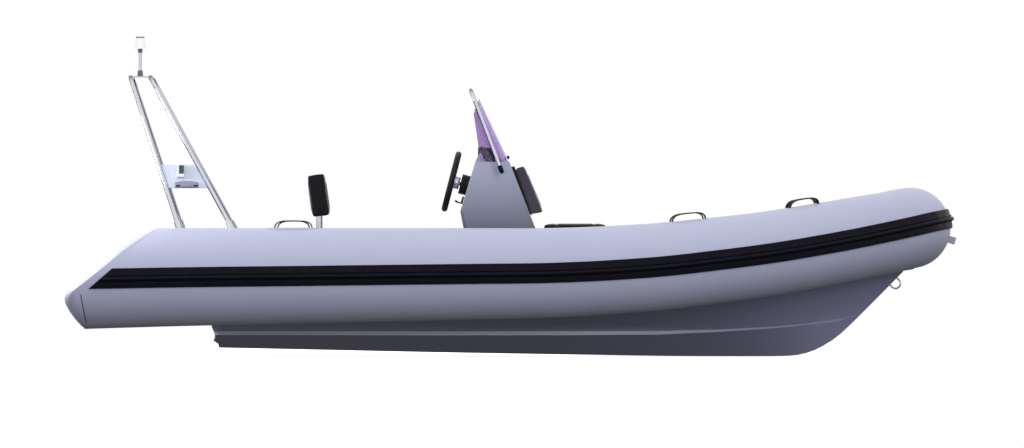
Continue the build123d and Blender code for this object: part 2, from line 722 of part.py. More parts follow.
(REAR_NAME, REAR_FOOT_X, REAR_TOP_X), (FRONT_NAME, FRONT_FOOT_X, FRONT_TOP_X) = ARCH_HOOPS
PLATE_GRIP = PIPE_R - 2.5          # the plates' edges are welded into the pipes' walls

with BuildPart() as arch_top_plate:
    with BuildSketch(Plane.XY.offset(MAST_LEVELS[0] - PLATE_THICK)):
        with Locations(((REAR_TOP_X + FRONT_TOP_X) / 2, 0)):
            Rectangle(FRONT_TOP_X - REAR_TOP_X - 2 * PLATE_GRIP, 2 * TOP_PLATE_HALF)
    extrude(amount=PLATE_THICK)
arch_top_plate.part.label = "arch_top_plate"
export_step(arch_top_plate.part, "parts/arch_top_plate.step")

# the plane through both starboard legs: its x is forward, its y is up the legs,
# and it is measured from the height of the hoops' feet
LEG_PLANE = Plane(
    origin=(0, -ARCH_FOOT_OFFSET, HOOP_FOOT_Z),
    x_dir=(1, 0, 0),
    z_dir=(0, -cos(LEG_LEAN), sin(LEG_LEAN)),
)


def up_leg(height):
    """Distance up the legs' plane to this height."""
    return (height - HOOP_FOOT_Z) / cos(LEG_LEAN)


with BuildPart() as side_plate:
    with BuildSketch(LEG_PLANE):
        with BuildLine():
            Polyline(
                *[
                    (leg_x(foot_x, top_x, height) + grip, up_leg(height))
                    for foot_x, top_x, height, grip in (
                        (REAR_FOOT_X, REAR_TOP_X, PLATE_LOW, PLATE_GRIP),
                        (REAR_FOOT_X, REAR_TOP_X, PLATE_HIGH, PLATE_GRIP),
                        (FRONT_FOOT_X, FRONT_TOP_X, PLATE_HIGH, -PLATE_GRIP),
                        (FRONT_FOOT_X, FRONT_TOP_X, PLATE_LOW, -PLATE_GRIP),
                    )
                ],
                close=True,
            )
        make_face()
    extrude(amount=PLATE_THICK / 2, both=True)


def on_plate(x_range, z_range):
    """Centre and size, on the legs' plane, of a piece between these limits."""
    low, high = up_leg(z_range[0]), up_leg(z_range[1])
    return (sum(x_range) / 2, (low + high) / 2), (x_range[1] - x_range[0], high - low)


with BuildPart() as nav_lens:
    centre, size = on_plate(LENS_X, LENS_Z)
    with BuildSketch(LEG_PLANE.offset(PLATE_THICK / 2 + LENS_DEEP)):
        with Locations(centre):
            Rectangle(*size)
    extrude(amount=LAMP_DEPTH - LENS_DEEP + LENS_PROUD)

with BuildPart() as nav_housing:
    centre, size = on_plate(LAMP_X, LAMP_Z)
    with BuildSketch(LEG_PLANE.offset(PLATE_THICK / 2)):
        with Locations(centre):
            Rectangle(*size)
    extrude(amount=LAMP_DEPTH)
    add(nav_lens.part, mode=Mode.SUBTRACT)

with BuildPart() as horn_cover:
    centre, size = on_plate(HORN_X, HORN_Z)
    with BuildSketch(LEG_PLANE.offset(PLATE_THICK / 2)):
        with BuildLine():
            low = centre[1] - size[1] / 2
            ThreePointArc((HORN_X[0], low), (centre[0], low + size[1]), (HORN_X[1], low))
            Line((HORN_X[0], low), (HORN_X[1], low))
        make_face()
    extrude(amount=HORN_DEPTH)

with BuildPart(Plane.XY.offset(MAST_LEVELS[0])) as light_mast:
    base_high, pole_high, collar_high = [level - MAST_LEVELS[0] for level in MAST_LEVELS[1:]]
    with Locations((MAST_X, 0)):
        Cone(MAST_BASE_R, MAST_BASE_R - 3, base_high, align=(Align.CENTER, Align.CENTER, Align.MIN))
        Cylinder(MAST_POLE_R, collar_high, align=(Align.CENTER, Align.CENTER, Align.MIN))
    with Locations((MAST_X, 0, pole_high)):
        Cylinder(MAST_BASE_R - 4, collar_high - pole_high, align=(Align.CENTER, Align.CENTER, Align.MIN))
light_mast.part.label = "light_mast"
export_step(light_mast.part, "parts/light_mast.step")

with BuildPart(Plane.XY.offset(MAST_LEVELS[3])) as mast_lens:
    with Locations((MAST_X, 0)):
        Cone(
            LAMP_FOOT_R, LAMP_HEAD_R, LAMP_HEAD_TOP - MAST_LEVELS[3],
            align=(Align.CENTER, Align.CENTER, Align.MIN),
        )
mast_lens.part.label = "mast_lens"
export_step(mast_lens.part, "parts/mast_lens.step")

with BuildPart(Plane.XY.offset(LAMP_HEAD_TOP)) as mast_lamp_cap:
    with Locations((MAST_X, 0)):
        Cylinder(LAMP_HEAD_R, LAMP_CAP_TOP - LAMP_HEAD_TOP, align=(Align.CENTER, Align.CENTER, Align.MIN))
mast_lamp_cap.part.label = "mast_lamp_cap"
export_step(mast_lamp_cap.part, "parts/mast_lamp_cap.step")

# ---------------------------------------------------------------- console
def console_half(height):
    """The console's half width at a height, between its levels."""
    for low, high in zip(CONSOLE_LEVELS, CONSOLE_LEVELS[1:]):
        if low[0] <= height <= high[0]:
            return low[3] + (high[3] - low[3]) * (height - low[0]) / (high[0] - low[0])
    raise ValueError("outside the console")


with BuildPart() as console:
    for level, aft, fore, half, aft_long, aft_deep, fore_long, fore_deep in CONSOLE_LEVELS:
        with BuildSketch(Plane.XY.offset(level)):
            with BuildLine():
                starboard = [
                    (aft, aft_deep - half), (aft + aft_long, -half),
                    (fore - fore_long, -half), (fore, fore_deep - half),
                ]
                Polyline(*starboard, *[(x, -y) for x, y in reversed(starboard)], close=True)
            make_face()
    loft(ruled=True)
    with BuildSketch(Plane.XZ):
        with BuildLine():
            Polyline(*LIP_SIDE, close=True)
        make_face()
    extrude(amount=LIP_HALF, both=True)
console.part.label = "console"
export_step(console.part, "parts/console.step")

with BuildPart() as dash_hood:
    with BuildSketch(Plane.XZ):
        with BuildLine():
            Polyline(*DASH_SIDE, close=True)
        make_face()
    extrude(amount=DASH_HALF, both=True)
    add(console.part, mode=Mode.SUBTRACT)
dash_hood.part.label = "dash_hood"
export_step(dash_hood.part, "parts/dash_hood.step")


def screen_block(inset):
    """Solid leaning block with rounded forward corners, inside the screen's outer face."""
    with BuildPart() as block:
        for level, half in ((CONSOLE_TOP, SCREEN_FOOT_HALF), (SCREEN_HEAD_Z, SCREEN_HEAD_HALF)):
            front_x = SCREEN_FOOT_FRONT_X - SCREEN_LEAN * (level - CONSOLE_TOP) - inset
            with BuildSketch(Plane.XY.offset(level)) as plan:
                with Locations(((SCREEN_BACK_X + front_x) / 2, 0)):
                    Rectangle(front_x - SCREEN_BACK_X, 2 * (half - inset))
                fillet(plan.vertices().group_by(Axis.X)[-1], SCREEN_CORNER_R - inset)
        loft(ruled=True)
    return block.part


with BuildPart() as windscreen:
    with BuildSketch(Plane.XZ.offset(-HALF_BEAM)):
        with BuildLine():
            Polyline(*SCREEN_SIDE, close=True)
        make_face()
    extrude(amount=2 * HALF_BEAM)
    add(screen_block(0.0), mode=Mode.INTERSECT)
    add(screen_block(SCREEN_THICK), mode=Mode.SUBTRACT)
windscreen.part.label = "windscreen"
export_step(windscreen.part, "parts/windscreen.step")

with BuildPart() as windscreen_rail:
    foot_x, foot_y, foot_z = RAIL_FOOT
    head_x, head_y, head_z = RAIL_HEAD
    with BuildLine() as rail_line:
        FilletPolyline(
            (foot_x, -foot_y, foot_z), (head_x, -head_y, head_z),
            (head_x, head_y, head_z), (foot_x, foot_y, foot_z),
            radius=RAIL_BEND_R,
        )
    with BuildSketch(Plane(origin=rail_line.line @ 0, z_dir=rail_line.line % 0)):
        Circle(RAIL_PIPE_R)
    sweep()
    for side in (-1, 1):
        stand_x = foot_x + (head_x - foot_x) * RAIL_STAND_UP / (head_z - foot_z)
        stand_y = console_half(foot_z + RAIL_STAND_UP) - RAIL_STAND_SINK
        with BuildSketch(
            Plane(origin=(stand_x, side * stand_y, foot_z + RAIL_STAND_UP), z_dir=(0, side, 0))
        ):
            Circle(RAIL_STAND_R)
        extrude(amount=foot_y - stand_y)
windscreen_rail.part.label = "windscreen_rail"
export_step(windscreen_rail.part, "parts/windscreen_rail.step")

# ---------------------------------------------------------------- steering
WHEEL_PLANE = Plane(origin=WHEEL_CENTRE, x_dir=(0, 1, 0), z_dir=WHEEL_AXIS)

with BuildPart() as helm_bezel:
    with BuildSketch(WHEEL_PLANE.offset(-BEZEL_START)):
        Circle(BEZEL_R)
    extrude(amount=-BEZEL_LONG)
    add(console.part, mode=Mode.SUBTRACT)
    with BuildSketch(WHEEL_PLANE.offset(-BEZEL_START)):
        Circle(SHAFT_R + SHAFT_CLEARANCE)
    extrude(amount=BEZEL_START - SHAFT_LONG - LID_GAP, mode=Mode.SUBTRACT)
helm_bezel.part.label = "helm_bezel"
export_step(helm_bezel.part, "parts/helm_bezel.step")

with BuildPart(WHEEL_PLANE) as steering_wheel:
    Torus(WHEEL_RIM_R, WHEEL_GRIP_R)
    Cylinder(WHEEL_HUB_R, WHEEL_HUB_BACK, align=(Align.CENTER, Align.CENTER, Align.MAX))
    Cylinder(SHAFT_R, SHAFT_LONG, align=(Align.CENTER, Align.CENTER, Align.MAX))
    with PolarLocations(0, SPOKES, start_angle=90):
        with Locations((WHEEL_RIM_R / 2, 0, -SPOKE_THICK)):
            Box(WHEEL_RIM_R, SPOKE_WIDE, SPOKE_THICK)
steering_wheel.part.label = "steering_wheel"
export_step(steering_wheel.part, "parts/steering_wheel.step")

# ---------------------------------------------------------------- seats
SEATS = (
    # name, after x, forward x, half width, locker top, cushion after x, cushion top
    ("front_seat", *FRONT_SEAT, FRONT_SEAT_TOP, FRONT_SEAT[0], FRONT_CUSHION_TOP),
    ("helm_seat", *HELM_SEAT, HELM_SEAT_TOP, HELM_CUSHION_AFT_X, HELM_CUSHION_TOP),
)
for name, aft, fore, half, top, cushion_aft, cushion_top in SEATS:
    with BuildPart() as locker:
        with BuildSketch(Plane.XY.offset(SOLE_TOP)):
            with Locations(((aft + fore) / 2, 0)):
                Rectangle(fore - aft, 2 * half)
        extrude(amount=top - SOLE_TOP)
        with BuildSketch(Plane.XY.offset(SOLE_TOP + SEAT_WALL)):
            with Locations(((aft + fore) / 2, 0)):
                Rectangle(fore - aft - 2 * SEAT_WALL, 2 * (half - SEAT_WALL))
        extrude(amount=top, mode=Mode.SUBTRACT)
        add(console.part, mode=Mode.SUBTRACT)
    locker.part.label = f"{name}_locker"
    export_step(locker.part, f"parts/{name}_locker.step")

    with BuildPart() as lid:
        with BuildSketch(Plane.XY.offset(top + LID_GAP)):
            with Locations(((aft + fore) / 2, 0)):
                Rectangle(fore - aft, 2 * half)
        extrude(amount=LID_THICK)
    lid.part.label = f"{name}_lid"
    export_step(lid.part, f"parts/{name}_lid.step")

    with BuildPart() as cushion:
        with BuildSketch(Plane.XY.offset(top + LID_GAP + LID_THICK)):
            with Locations(((cushion_aft + fore) / 2, 0)):
                RectangleRounded(fore - cushion_aft, 2 * half, CUSHION_CORNER_R)
        extrude(amount=cushion_top - top - LID_GAP - LID_THICK)
        fillet(cushion.faces().sort_by(Axis.Z)[-1].edges(), CUSHION_EDGE_R)
    cushion.part.label = f"{name}_cushion"
    export_step(cushion.part, f"parts/{name}_cushion.step")

# pads that are one side outline wide: name, outline, half width
for name, outline, half in (
    ("console_pad_board", BACK_PAD_BOARD, BACK_PAD_HALF - 20),
    ("console_pad", BACK_PAD, BACK_PAD_HALF),
    ("backrest_pad", REST_PAD, REST_PAD_HALF),
):
    with BuildPart() as pad:
        with BuildSketch(Plane.XZ):
            with BuildLine():
                Polyline(*outline, close=True)
            make_face()
        extrude(amount=half, both=True)
        add(console.part, mode=Mode.SUBTRACT)
    pad.part.label = name
    export_step(pad.part, f"parts/{name}.step")

with BuildPart() as backrest_posts:
    for side in (-1, 1):
        with BuildSketch(Plane.XY.offset(SOLE_TOP)):
            with Locations((REST_POST_X, side * REST_POST_OFFSET)):
                Circle(REST_POST_R)
        extrude(amount=REST_POST_TOP - SOLE_TOP)
        with BuildSketch(Plane.XY.offset(SOLE_TOP)):
            with Locations((REST_POST_X, side * REST_POST_OFFSET)):
                Circle(2 * REST_POST_R)
        extrude(amount=SOCKET_FLANGE_THICK)
        for level in REST_CLAMP_Z:
            with BuildSketch(Plane.XY.offset(level)):
                with Locations(((REST_POST_X + HELM_SEAT[0]) / 2, side * REST_POST_OFFSET)):
                    Rectangle(HELM_SEAT[0] - REST_POST_X, REST_POST_R)
            extrude(amount=2 * REST_POST_R)
    split(bisect_by=Plane.YZ.offset(HELM_SEAT[0]), keep=Keep.BOTTOM)
backrest_posts.part.label = "backrest_posts"
export_step(backrest_posts.part, "parts/backrest_posts.step")


# ---------------------------------------------------------------- eyes and small fittings
def eye_bolt(plane, spread, reach, rod_r):
    """A U-bolt standing out of a plane: its two legs are spread along the plane's x."""
    with BuildPart() as bolt:
        with BuildLine() as bolt_line:
            FilletPolyline(
                *[
                    plane.from_local_coords(Vector(*point))
                    for point in (
                        (-spread / 2, 0, -EYE_SINK), (-spread / 2, 0, reach),
                        (spread / 2, 0, reach), (spread / 2, 0, -EYE_SINK),
                    )
                ],
                radius=spread / 2 - 1,
            )
        with BuildSketch(Plane(origin=bolt_line.line @ 0, z_dir=bolt_line.line % 0)):
            Circle(rod_r)
        sweep()
    return bolt.part


with BuildPart() as bow_eye:
    add(
        eye_bolt(
            Plane(origin=BOW_EYE, x_dir=(1, 0, 1), z_dir=(1, 0, -1)),
            BOW_EYE_SPREAD, BOW_EYE_REACH, BOW_EYE_ROD_R,
        )
    )
bow_eye.part.label = "bow_eye"
export_step(bow_eye.part, "parts/bow_eye.step")

TRANSOM_NORMAL = (-cos(radians(TRANSOM_RAKE)), 0, -sin(radians(TRANSOM_RAKE)))
with BuildPart() as stern_eyes:
    for side in (-1, 1):
        spot = (transom_x(STERN_EYE_Z), side * STERN_EYE_OFFSET, STERN_EYE_Z)
        add(
            eye_bolt(
                Plane(origin=spot, x_dir=(0, 1, 0), z_dir=TRANSOM_NORMAL),
                STERN_EYE_SPREAD, STERN_EYE_REACH, BOW_EYE_ROD_R,
            )
        )
stern_eyes.part.label = "stern_eyes"
export_step(stern_eyes.part, "parts/stern_eyes.step")

with BuildPart(
    Plane(origin=(transom_x(DRAIN_Z), 0, DRAIN_Z), x_dir=(0, 1, 0), z_dir=TRANSOM_NORMAL)
) as drain_fitting:
    Cylinder(DRAIN_R, DRAIN_THICK, align=(Align.CENTER, Align.CENTER, Align.MIN))
    Cylinder(DRAIN_R / 2, 2 * DRAIN_THICK, align=(Align.CENTER, Align.CENTER, Align.MIN))
drain_fitting.part.label = "drain_fitting"
export_step(drain_fitting.part, "parts/drain_fitting.step")

with BuildPart() as bow_tow_patch:
    with BuildSketch(Plane.XZ):
        with BuildLine():
            Polyline(*TOW_PATCH_SIDE, close=True)
        make_face()
    extrude(amount=TOW_PATCH_HALF, both=True)
bow_tow_patch.part.label = "bow_tow_patch"
export_step(bow_tow_patch.part, "parts/bow_tow_patch.step")

# ---------------------------------------------------------------- pieces with a twin to port
for name, piece in (
    ("collar_side", collar_side.part),
    ("collar_bow", collar_bow.part),
    ("tail_cap", tail_cap.part),
    ("strake_side", strake_side.part),
    ("strake_bow", strake_bow.part),
    ("stern_pod", stern_pod.part),
    ("nav_lens", nav_lens.part),
    *[(f"handle_{row}", handle_loop(x, half)) for row, (x, half, patch) in enumerate(HANDLES, 1)],
):
    with BuildPart() as starboard:
        add(piece)
    with BuildPart() as port:
        mirror(piece, about=Plane.XZ)
    starboard.part.label = f"{name}_starboard"
    port.part.label = f"{name}_port"
    export_step(starboard.part, f"parts/{name}_starboard.step")
    export_step(port.part, f"parts/{name}_port.step")

# small pieces whose two twins share one node
for name, piece in (
    ("handle_patches", handle_patches.part),
    ("arch_side_plates", side_plate.part),
    ("nav_housings", nav_housing.part),
    ("horn_covers", horn_cover.part),
):
    with BuildPart() as pair:
        add(piece)
        mirror(piece, about=Plane.XZ)
    pair.part.label = name
    export_step(pair.part, f"parts/{name}.step")
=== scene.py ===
# %% [markdown]
# # Dressing a rigid inflatable boat
#
# The boat's solid parts are already drawn in a CAD program: the hull, the
# cockpit, the console, the arch and the lids that open. They load below as a
# fixed frame, in metres, with +X to the bow, +Y to port and +Z up.
#
# Blender adds what CAD does badly: the soft swell of an inflated tube, sewn
# cushions, ribbed rubber, webbing, and finishes with grain and sheen. Each
# cell makes one such piece or finish, and the text above it says what the
# piece is on a real boat and why it is made in this way.

# %% Load the frame
from math import asin, atan2, cos, exp, radians, sin, sqrt

import bpy
from mathutils import Matrix, Vector


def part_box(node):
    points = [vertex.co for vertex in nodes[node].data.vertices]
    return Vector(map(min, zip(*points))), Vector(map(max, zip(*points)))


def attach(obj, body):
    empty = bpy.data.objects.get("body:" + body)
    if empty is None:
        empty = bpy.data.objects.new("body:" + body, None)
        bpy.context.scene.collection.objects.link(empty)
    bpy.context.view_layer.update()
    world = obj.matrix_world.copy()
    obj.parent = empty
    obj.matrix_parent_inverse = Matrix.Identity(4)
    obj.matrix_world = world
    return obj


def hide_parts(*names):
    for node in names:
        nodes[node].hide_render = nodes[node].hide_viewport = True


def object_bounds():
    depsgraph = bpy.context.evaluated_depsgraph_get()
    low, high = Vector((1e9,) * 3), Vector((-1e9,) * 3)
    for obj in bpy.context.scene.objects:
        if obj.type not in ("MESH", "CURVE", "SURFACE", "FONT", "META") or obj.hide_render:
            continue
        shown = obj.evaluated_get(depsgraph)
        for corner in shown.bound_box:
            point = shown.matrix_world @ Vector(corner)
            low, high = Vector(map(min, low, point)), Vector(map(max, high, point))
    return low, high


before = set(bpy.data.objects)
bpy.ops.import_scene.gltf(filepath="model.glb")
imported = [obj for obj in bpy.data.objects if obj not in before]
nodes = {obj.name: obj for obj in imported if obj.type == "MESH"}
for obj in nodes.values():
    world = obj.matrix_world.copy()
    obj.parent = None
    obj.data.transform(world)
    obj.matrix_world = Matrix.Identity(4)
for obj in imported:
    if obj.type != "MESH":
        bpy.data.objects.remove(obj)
cad_low, cad_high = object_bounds()
print(f"{len(nodes)} solid parts, {cad_high.x - cad_low.x:.3f} m long")

# %% [markdown]
# ## Camera and light
#
# A boat is usually shown from straight abeam, so that its sheer line and its
# keel line are true to shape. Seen from close by, perspective would swell the
# middle of the near tube and shrink the bow. So the camera stands more than a
# hundred metres off with a very long lens, and every length along the boat
# comes out at almost one scale.

# %% Camera
FRAME_WIDE = 1024
MM_TO_A_PIXEL = 5.6
LENS = 750.0
SENSOR = 36.0
TRUE_SCALE_Y = -0.4  # the plane, between the near tube and the stem, at true scale
AIM = Vector((0.0028, TRUE_SCALE_Y, 0.5152))

away = LENS / SENSOR * FRAME_WIDE * MM_TO_A_PIXEL / 1000
bpy.ops.object.camera_add(location=AIM - Vector((0, away, 0)), rotation=(radians(90), 0, 0))
camera = bpy.context.object
camera.data.lens = LENS
camera.data.sensor_width = SENSOR
camera.data.clip_end = 2 * away
bpy.context.scene.camera = camera
print(f"camera {away:.1f} m away")

# %% [markdown]
# A round tube shows its roundness only if light comes mostly from above. The
# studio is a bright dome overhead and nearly dark below. Two long softboxes
# stand on the camera's side, a wide one above head height and a narrow strip
# just below the waterline that lifts the hull a little. Shiny surfaces don't
# mirror these, or wavy gelcoat would be full of spots. A small one close behind
# each tail lights the sewn cap from above. The camera itself sees plain white
# behind the boat, and what polished steel mirrors is bright down to just below
# the horizon.
#
# The sky is a small node tree, and so is every finish further down, so a few
# short calls for adding nodes come first.


# %% Short calls for node trees
class Tree:
    """A node tree, and short calls that add to it."""

    def __init__(self, tree):
        self.tree = tree

    def link(self, source, target):
        self.tree.links.new(source, target)

    def node(self, kind, **settings):
        """A new node; settings are its own properties or the defaults of its inputs."""
        made = self.tree.nodes.new("ShaderNode" + kind)
        for key, value in settings.items():
            if hasattr(made, key):
                setattr(made, key, value)
            else:
                made.inputs[key.replace("_", " ")].default_value = value
        return made

    def part(self, vector, axis):
        """One axis of a vector."""
        made = self.node("SeparateXYZ")
        self.link(vector, made.inputs[0])
        return made.outputs[axis]

    def ramp(self, source, low, high, out_low=0.0, out_high=1.0, easing="LINEAR"):
        """Maps a texture from the range low..high to out_low..out_high, and clips it."""
        made = self.node("MapRange", interpolation_type=easing)
        for socket, value in zip(
            ("From Min", "From Max", "To Min", "To Max"), (low, high, out_low, out_high)
        ):
            made.inputs[socket].default_value = value
        self.link(source, made.inputs["Value"])
        return made.outputs["Result"]

    def maths(self, operation, first, second, clip=False):
        made = self.node("Math", operation=operation, use_clamp=clip)
        for socket, value in zip(made.inputs, (first, second)):
            if isinstance(value, (int, float)):
                socket.default_value = value
            else:
                self.link(value, socket)
        return made.outputs[0]


# %% Soft light
LAMP_COLOUR = (0.96, 0.965, 1.0)


def add_softbox(name, place, aim, size, watts, mirrored=False):
    """A rectangular area lamp that looks at a point."""
    bpy.ops.object.light_add(type="AREA", location=place)
    lamp = bpy.context.object
    lamp.name = name
    lamp.data.shape = "RECTANGLE"
    lamp.data.size, lamp.data.size_y = size
    lamp.data.energy = watts
    lamp.data.color = LAMP_COLOUR
    lamp.visible_camera = False
    lamp.visible_glossy = mirrored
    lamp.rotation_euler = (Vector(aim) - Vector(place)).to_track_quat("-Z", "Y").to_euler()


add_softbox("side_softbox", (0, -9.0, 2.2), (0, 0, 0.3), (11.0, 2.6), watts=196)
add_softbox("low_softbox", (0, -9.0, -0.05), (0, 0, -0.05), (11.0, 0.3), watts=30)
for side in (-1, 1):
    behind_tail, on_cap = (-2.85, 0.80 * side, 1.00), (-2.2, 0.80 * side, 0.38)
    add_softbox(f"tail_softbox_{side}", behind_tail, on_cap, (0.30, 0.50), watts=9, mirrored=True)

# %% Sky
DOME = (-0.25, 0.30, 0.085, 0.99)  # from this height to that, and the brightness at each
HORIZON = (-0.16, 0.02, 0.10, 1.0)  # the same, as steel mirrors it

world = bpy.data.worlds.new("studio")
bpy.context.scene.world = world
world.use_nodes = True
sky = Tree(world.node_tree)
background = world.node_tree.nodes["Background"].inputs
seen = sky.node("LightPath").outputs
sky_height = sky.part(sky.node("TexCoord").outputs["Generated"], "Z")
dome = sky.ramp(sky_height, *DOME, easing="SMOOTHSTEP")
horizon = sky.ramp(sky_height, *HORIZON, easing="SMOOTHSTEP")
mirrored = sky.maths("SUBTRACT", seen["Is Glossy Ray"], seen["Is Transmission Ray"], clip=True)
strength = sky.node("Mix", B=1.0)
sky.link(seen["Is Camera Ray"], strength.inputs["Factor"])
sky.link(sky.maths("MAXIMUM", dome, sky.maths("MULTIPLY", mirrored, horizon)), strength.inputs["A"])
sky.link(strength.outputs["Result"], background["Strength"])
background["Color"].default_value = (1, 1, 1, 1)
bpy.context.scene.view_settings.view_transform = "Standard"

# %% [markdown]
# ## Floor
#
# The boat stands on its keel on a plain pale floor, a disc wide enough to look
# endless from above. It lies four millimetres under the CAD keel, because the
# bottom gets a skin of three. The underside gets no light from it, and steel
# doesn't mirror it.

# %% Floor
FLOOR_R = 14.0
FLOOR_GAP = 0.004

bpy.ops.mesh.primitive_circle_add(
    vertices=96, radius=FLOOR_R, fill_type="NGON", location=(0, 0, cad_low.z - FLOOR_GAP)
)
floor = bpy.context.object
floor.name = "floor"
floor.visible_diffuse = floor.visible_glossy = False
print(f"floor at {floor.location.z:.3f} m")


# %% [markdown]
# ## Finishes
#
# Every finish is a Principled shader fed by procedural textures in Object
# coordinates. The pieces all sit at the origin, unscaled, so one unit is one
# metre everywhere, and a weave or a grain has the same real size on each.
#
# The calls below keep each finish to a few lines: they make the shader, tint it
# by a texture or along the boat, and add bumps.


# %% Shader helpers
class Finish(Tree):
    """A material with a Principled shader, and short calls that feed it."""

    def __init__(self, name, colour, roughness, metallic=0.0, coat=0.0, sheen=0.0):
        self.material = bpy.data.materials.new(name)
        self.material.use_nodes = True
        super().__init__(self.material.node_tree)
        self.shader = self.tree.nodes["Principled BSDF"]
        self.put("Base Color", (*colour, 1))
        self.put("Roughness", roughness)
        self.put("Metallic", metallic)
        self.put("Coat Weight", coat)
        self.put("Coat Roughness", 0.08)
        self.put("Sheen Weight", sheen)
        self.place = self.node("TexCoord").outputs["Object"]
        self.height = None

    def put(self, socket, value):
        self.shader.inputs[socket].default_value = value

    def noise(self, scale, detail=3.0, rough=0.5):
        made = self.node("TexNoise", Scale=scale, Detail=detail, Roughness=rough)
        self.link(self.place, made.inputs["Vector"])
        return made.outputs["Fac"]

    def cells(self, scale, feature="F1"):
        made = self.node("TexVoronoi", Scale=scale, feature=feature)
        self.link(self.place, made.inputs["Vector"])
        return made.outputs["Distance"]

    def waves(self, scale, direction):
        made = self.node("TexWave", Scale=scale, bands_direction=direction)
        self.link(self.place, made.inputs["Vector"])
        return made.outputs["Fac"]

    def edge_on(self):
        """How far the surface turns away from the eye."""
        return self.node("LayerWeight", Blend=0.5).outputs["Facing"]

    def tint(self, share, colour):
        """Mixes a second colour over the base colour where share is 1."""
        mix = self.node("Mix", data_type="RGBA")
        socket = self.shader.inputs["Base Color"]
        if socket.is_linked:
            self.link(socket.links[0].from_socket, mix.inputs[6])
        else:
            mix.inputs[6].default_value = socket.default_value
        mix.inputs[7].default_value = (*colour, 1)
        self.link(share, mix.inputs[0])
        self.link(mix.outputs[2], socket)

    def fade(self, axis, start, end, colour):
        """Tints the finish along an axis, from nothing at start to the full colour at end."""
        self.tint(self.ramp(self.part(self.place, axis), start, end), colour)

    def vary_roughness(self, source, low, high):
        self.link(self.ramp(source, 0.3, 0.7, low, high), self.shader.inputs["Roughness"])

    def bump(self, source, depth):
        """Adds a bump of this depth in metres on top of those already there."""
        made = self.node("Bump", Distance=depth)
        self.link(source, made.inputs["Height"])
        if self.height:
            self.link(self.height, made.inputs["Normal"])
        self.height = made.outputs["Normal"]
        self.link(self.height, self.shader.inputs["Normal"])

    def shine_white(self, amount):
        self.put("Emission Color", (1, 1, 1, 1))
        self.put("Emission Strength", amount)


# %% [markdown]
# ### Coated tube fabric
#
# The collar is polyester cloth coated with rubber or PVC. From a metre away it
# is an even satin grey with a hint of lilac. Close up, the weave shows through
# the coating, and broad faint clouds break up the sheen.

# %% Tube fabric
WEAVE = 260  # scale of the two crossed waves
fabric = Finish("tube_fabric", (0.465, 0.485, 0.655), 0.44, sheen=0.08)
fabric.tint(fabric.ramp(fabric.noise(2.2), 0.42, 0.62, 0.0, 0.35), (0.44, 0.46, 0.625))
fabric.tint(fabric.ramp(fabric.noise(38, 4), 0.62, 0.75, 0.0, 0.18), (0.52, 0.54, 0.70))
fabric.vary_roughness(fabric.noise(5.0), 0.36, 0.50)
weave = fabric.maths("MULTIPLY", fabric.waves(WEAVE, "X"), fabric.waves(WEAVE, "Z"))
fabric.bump(weave, 0.00012)
fabric.bump(fabric.noise(14, 2), 0.0006)
TUBE_FABRIC = fabric.material

# %% [markdown]
# ### Black rubber
#
# The rubbing strake and the handles are black rubber. New rubber is nearly
# black, but it picks up a grey bloom where it is handled or scuffed.

# %% Rubber
rubber = Finish("black_rubber", (0.0045, 0.0050, 0.0095), 0.50)
rubber.put("Specular IOR Level", 0.09)
rubber.tint(rubber.ramp(rubber.noise(9, 5, 0.65), 0.52, 0.78, 0.0, 0.4), (0.010, 0.011, 0.016))
rubber.vary_roughness(rubber.noise(24, 4), 0.38, 0.56)
rubber.bump(rubber.noise(420, 2), 0.0002)
BLACK_RUBBER = rubber.material

# %% [markdown]
# ### Gelcoat
#
# Glass-fibre mouldings get their colour from gelcoat, the first layer sprayed
# into the mould. It is smooth and glossy like paint, but long panels show a
# slight waviness, because the laminate behind them pulls as it cures.
#
# The hull's coat is painted paler towards the bow, as painted light where the
# steeper bow faces the lamps. The spray rails are painted nearly white aft, a
# painted highlight of the light their faces catch, and dull to the hull's colour
# at the bow. The console's coat is painted darker towards its foot, as painted
# shade.
#
# The floor and the lids have a moulded non-slip pattern of small studs. It is
# a bump that only faces looking upwards get, so the walls stay smooth, and the
# grooves between the studs are tinted darker as painted shade.


# %% Gelcoat
def gelcoat(name, colour, shade, roughness=0.31, coat=0.35):
    made = Finish(name, colour, roughness, coat=coat)
    made.tint(made.ramp(made.noise(1.8), 0.40, 0.65), shade)
    made.vary_roughness(made.noise(6.0, 2), roughness - 0.02, roughness + 0.04)
    made.bump(made.noise(3.5, 1), 0.0008)
    return made


hull_coat_painted_light = gelcoat("hull_gelcoat", (0.196, 0.202, 0.345), (0.187, 0.193, 0.330))
# Painted light: the coat is tinted paler towards the bow, where the steeper sides face the lamps.
hull_coat_painted_light.fade("X", 0.20, 1.60, (0.305, 0.312, 0.480))
HULL_COAT_PAINTED_LIGHT = hull_coat_painted_light.material

# Painted highlight: the rails' coat is nearly white aft and dulls to the hull's colour at the bow.
rail_coat_painted_highlight = gelcoat("rail_gelcoat_painted_highlight", (0.86, 0.87, 1.0), (0.82, 0.83, 0.97))
rail_coat_painted_highlight.fade("X", 0.50, 1.60, (0.27, 0.28, 0.43))
RAIL_COAT_PAINTED_HIGHLIGHT = rail_coat_painted_highlight.material

console_coat_painted_shade = gelcoat("console_gelcoat", (0.365, 0.392, 0.535), (0.350, 0.376, 0.515), coat=0.15)
# Painted shade: the coat darkens from the console's top towards its foot.
console_coat_painted_shade.fade("Z", 0.82, 0.50, (0.114, 0.122, 0.176))
CONSOLE_COAT_PAINTED_SHADE = console_coat_painted_shade.material

DECK_COLOUR, DECK_SHADE = (0.60, 0.61, 0.66), (0.56, 0.57, 0.62)
SMOOTH_GELCOAT = gelcoat("deck_gelcoat", DECK_COLOUR, DECK_SHADE).material

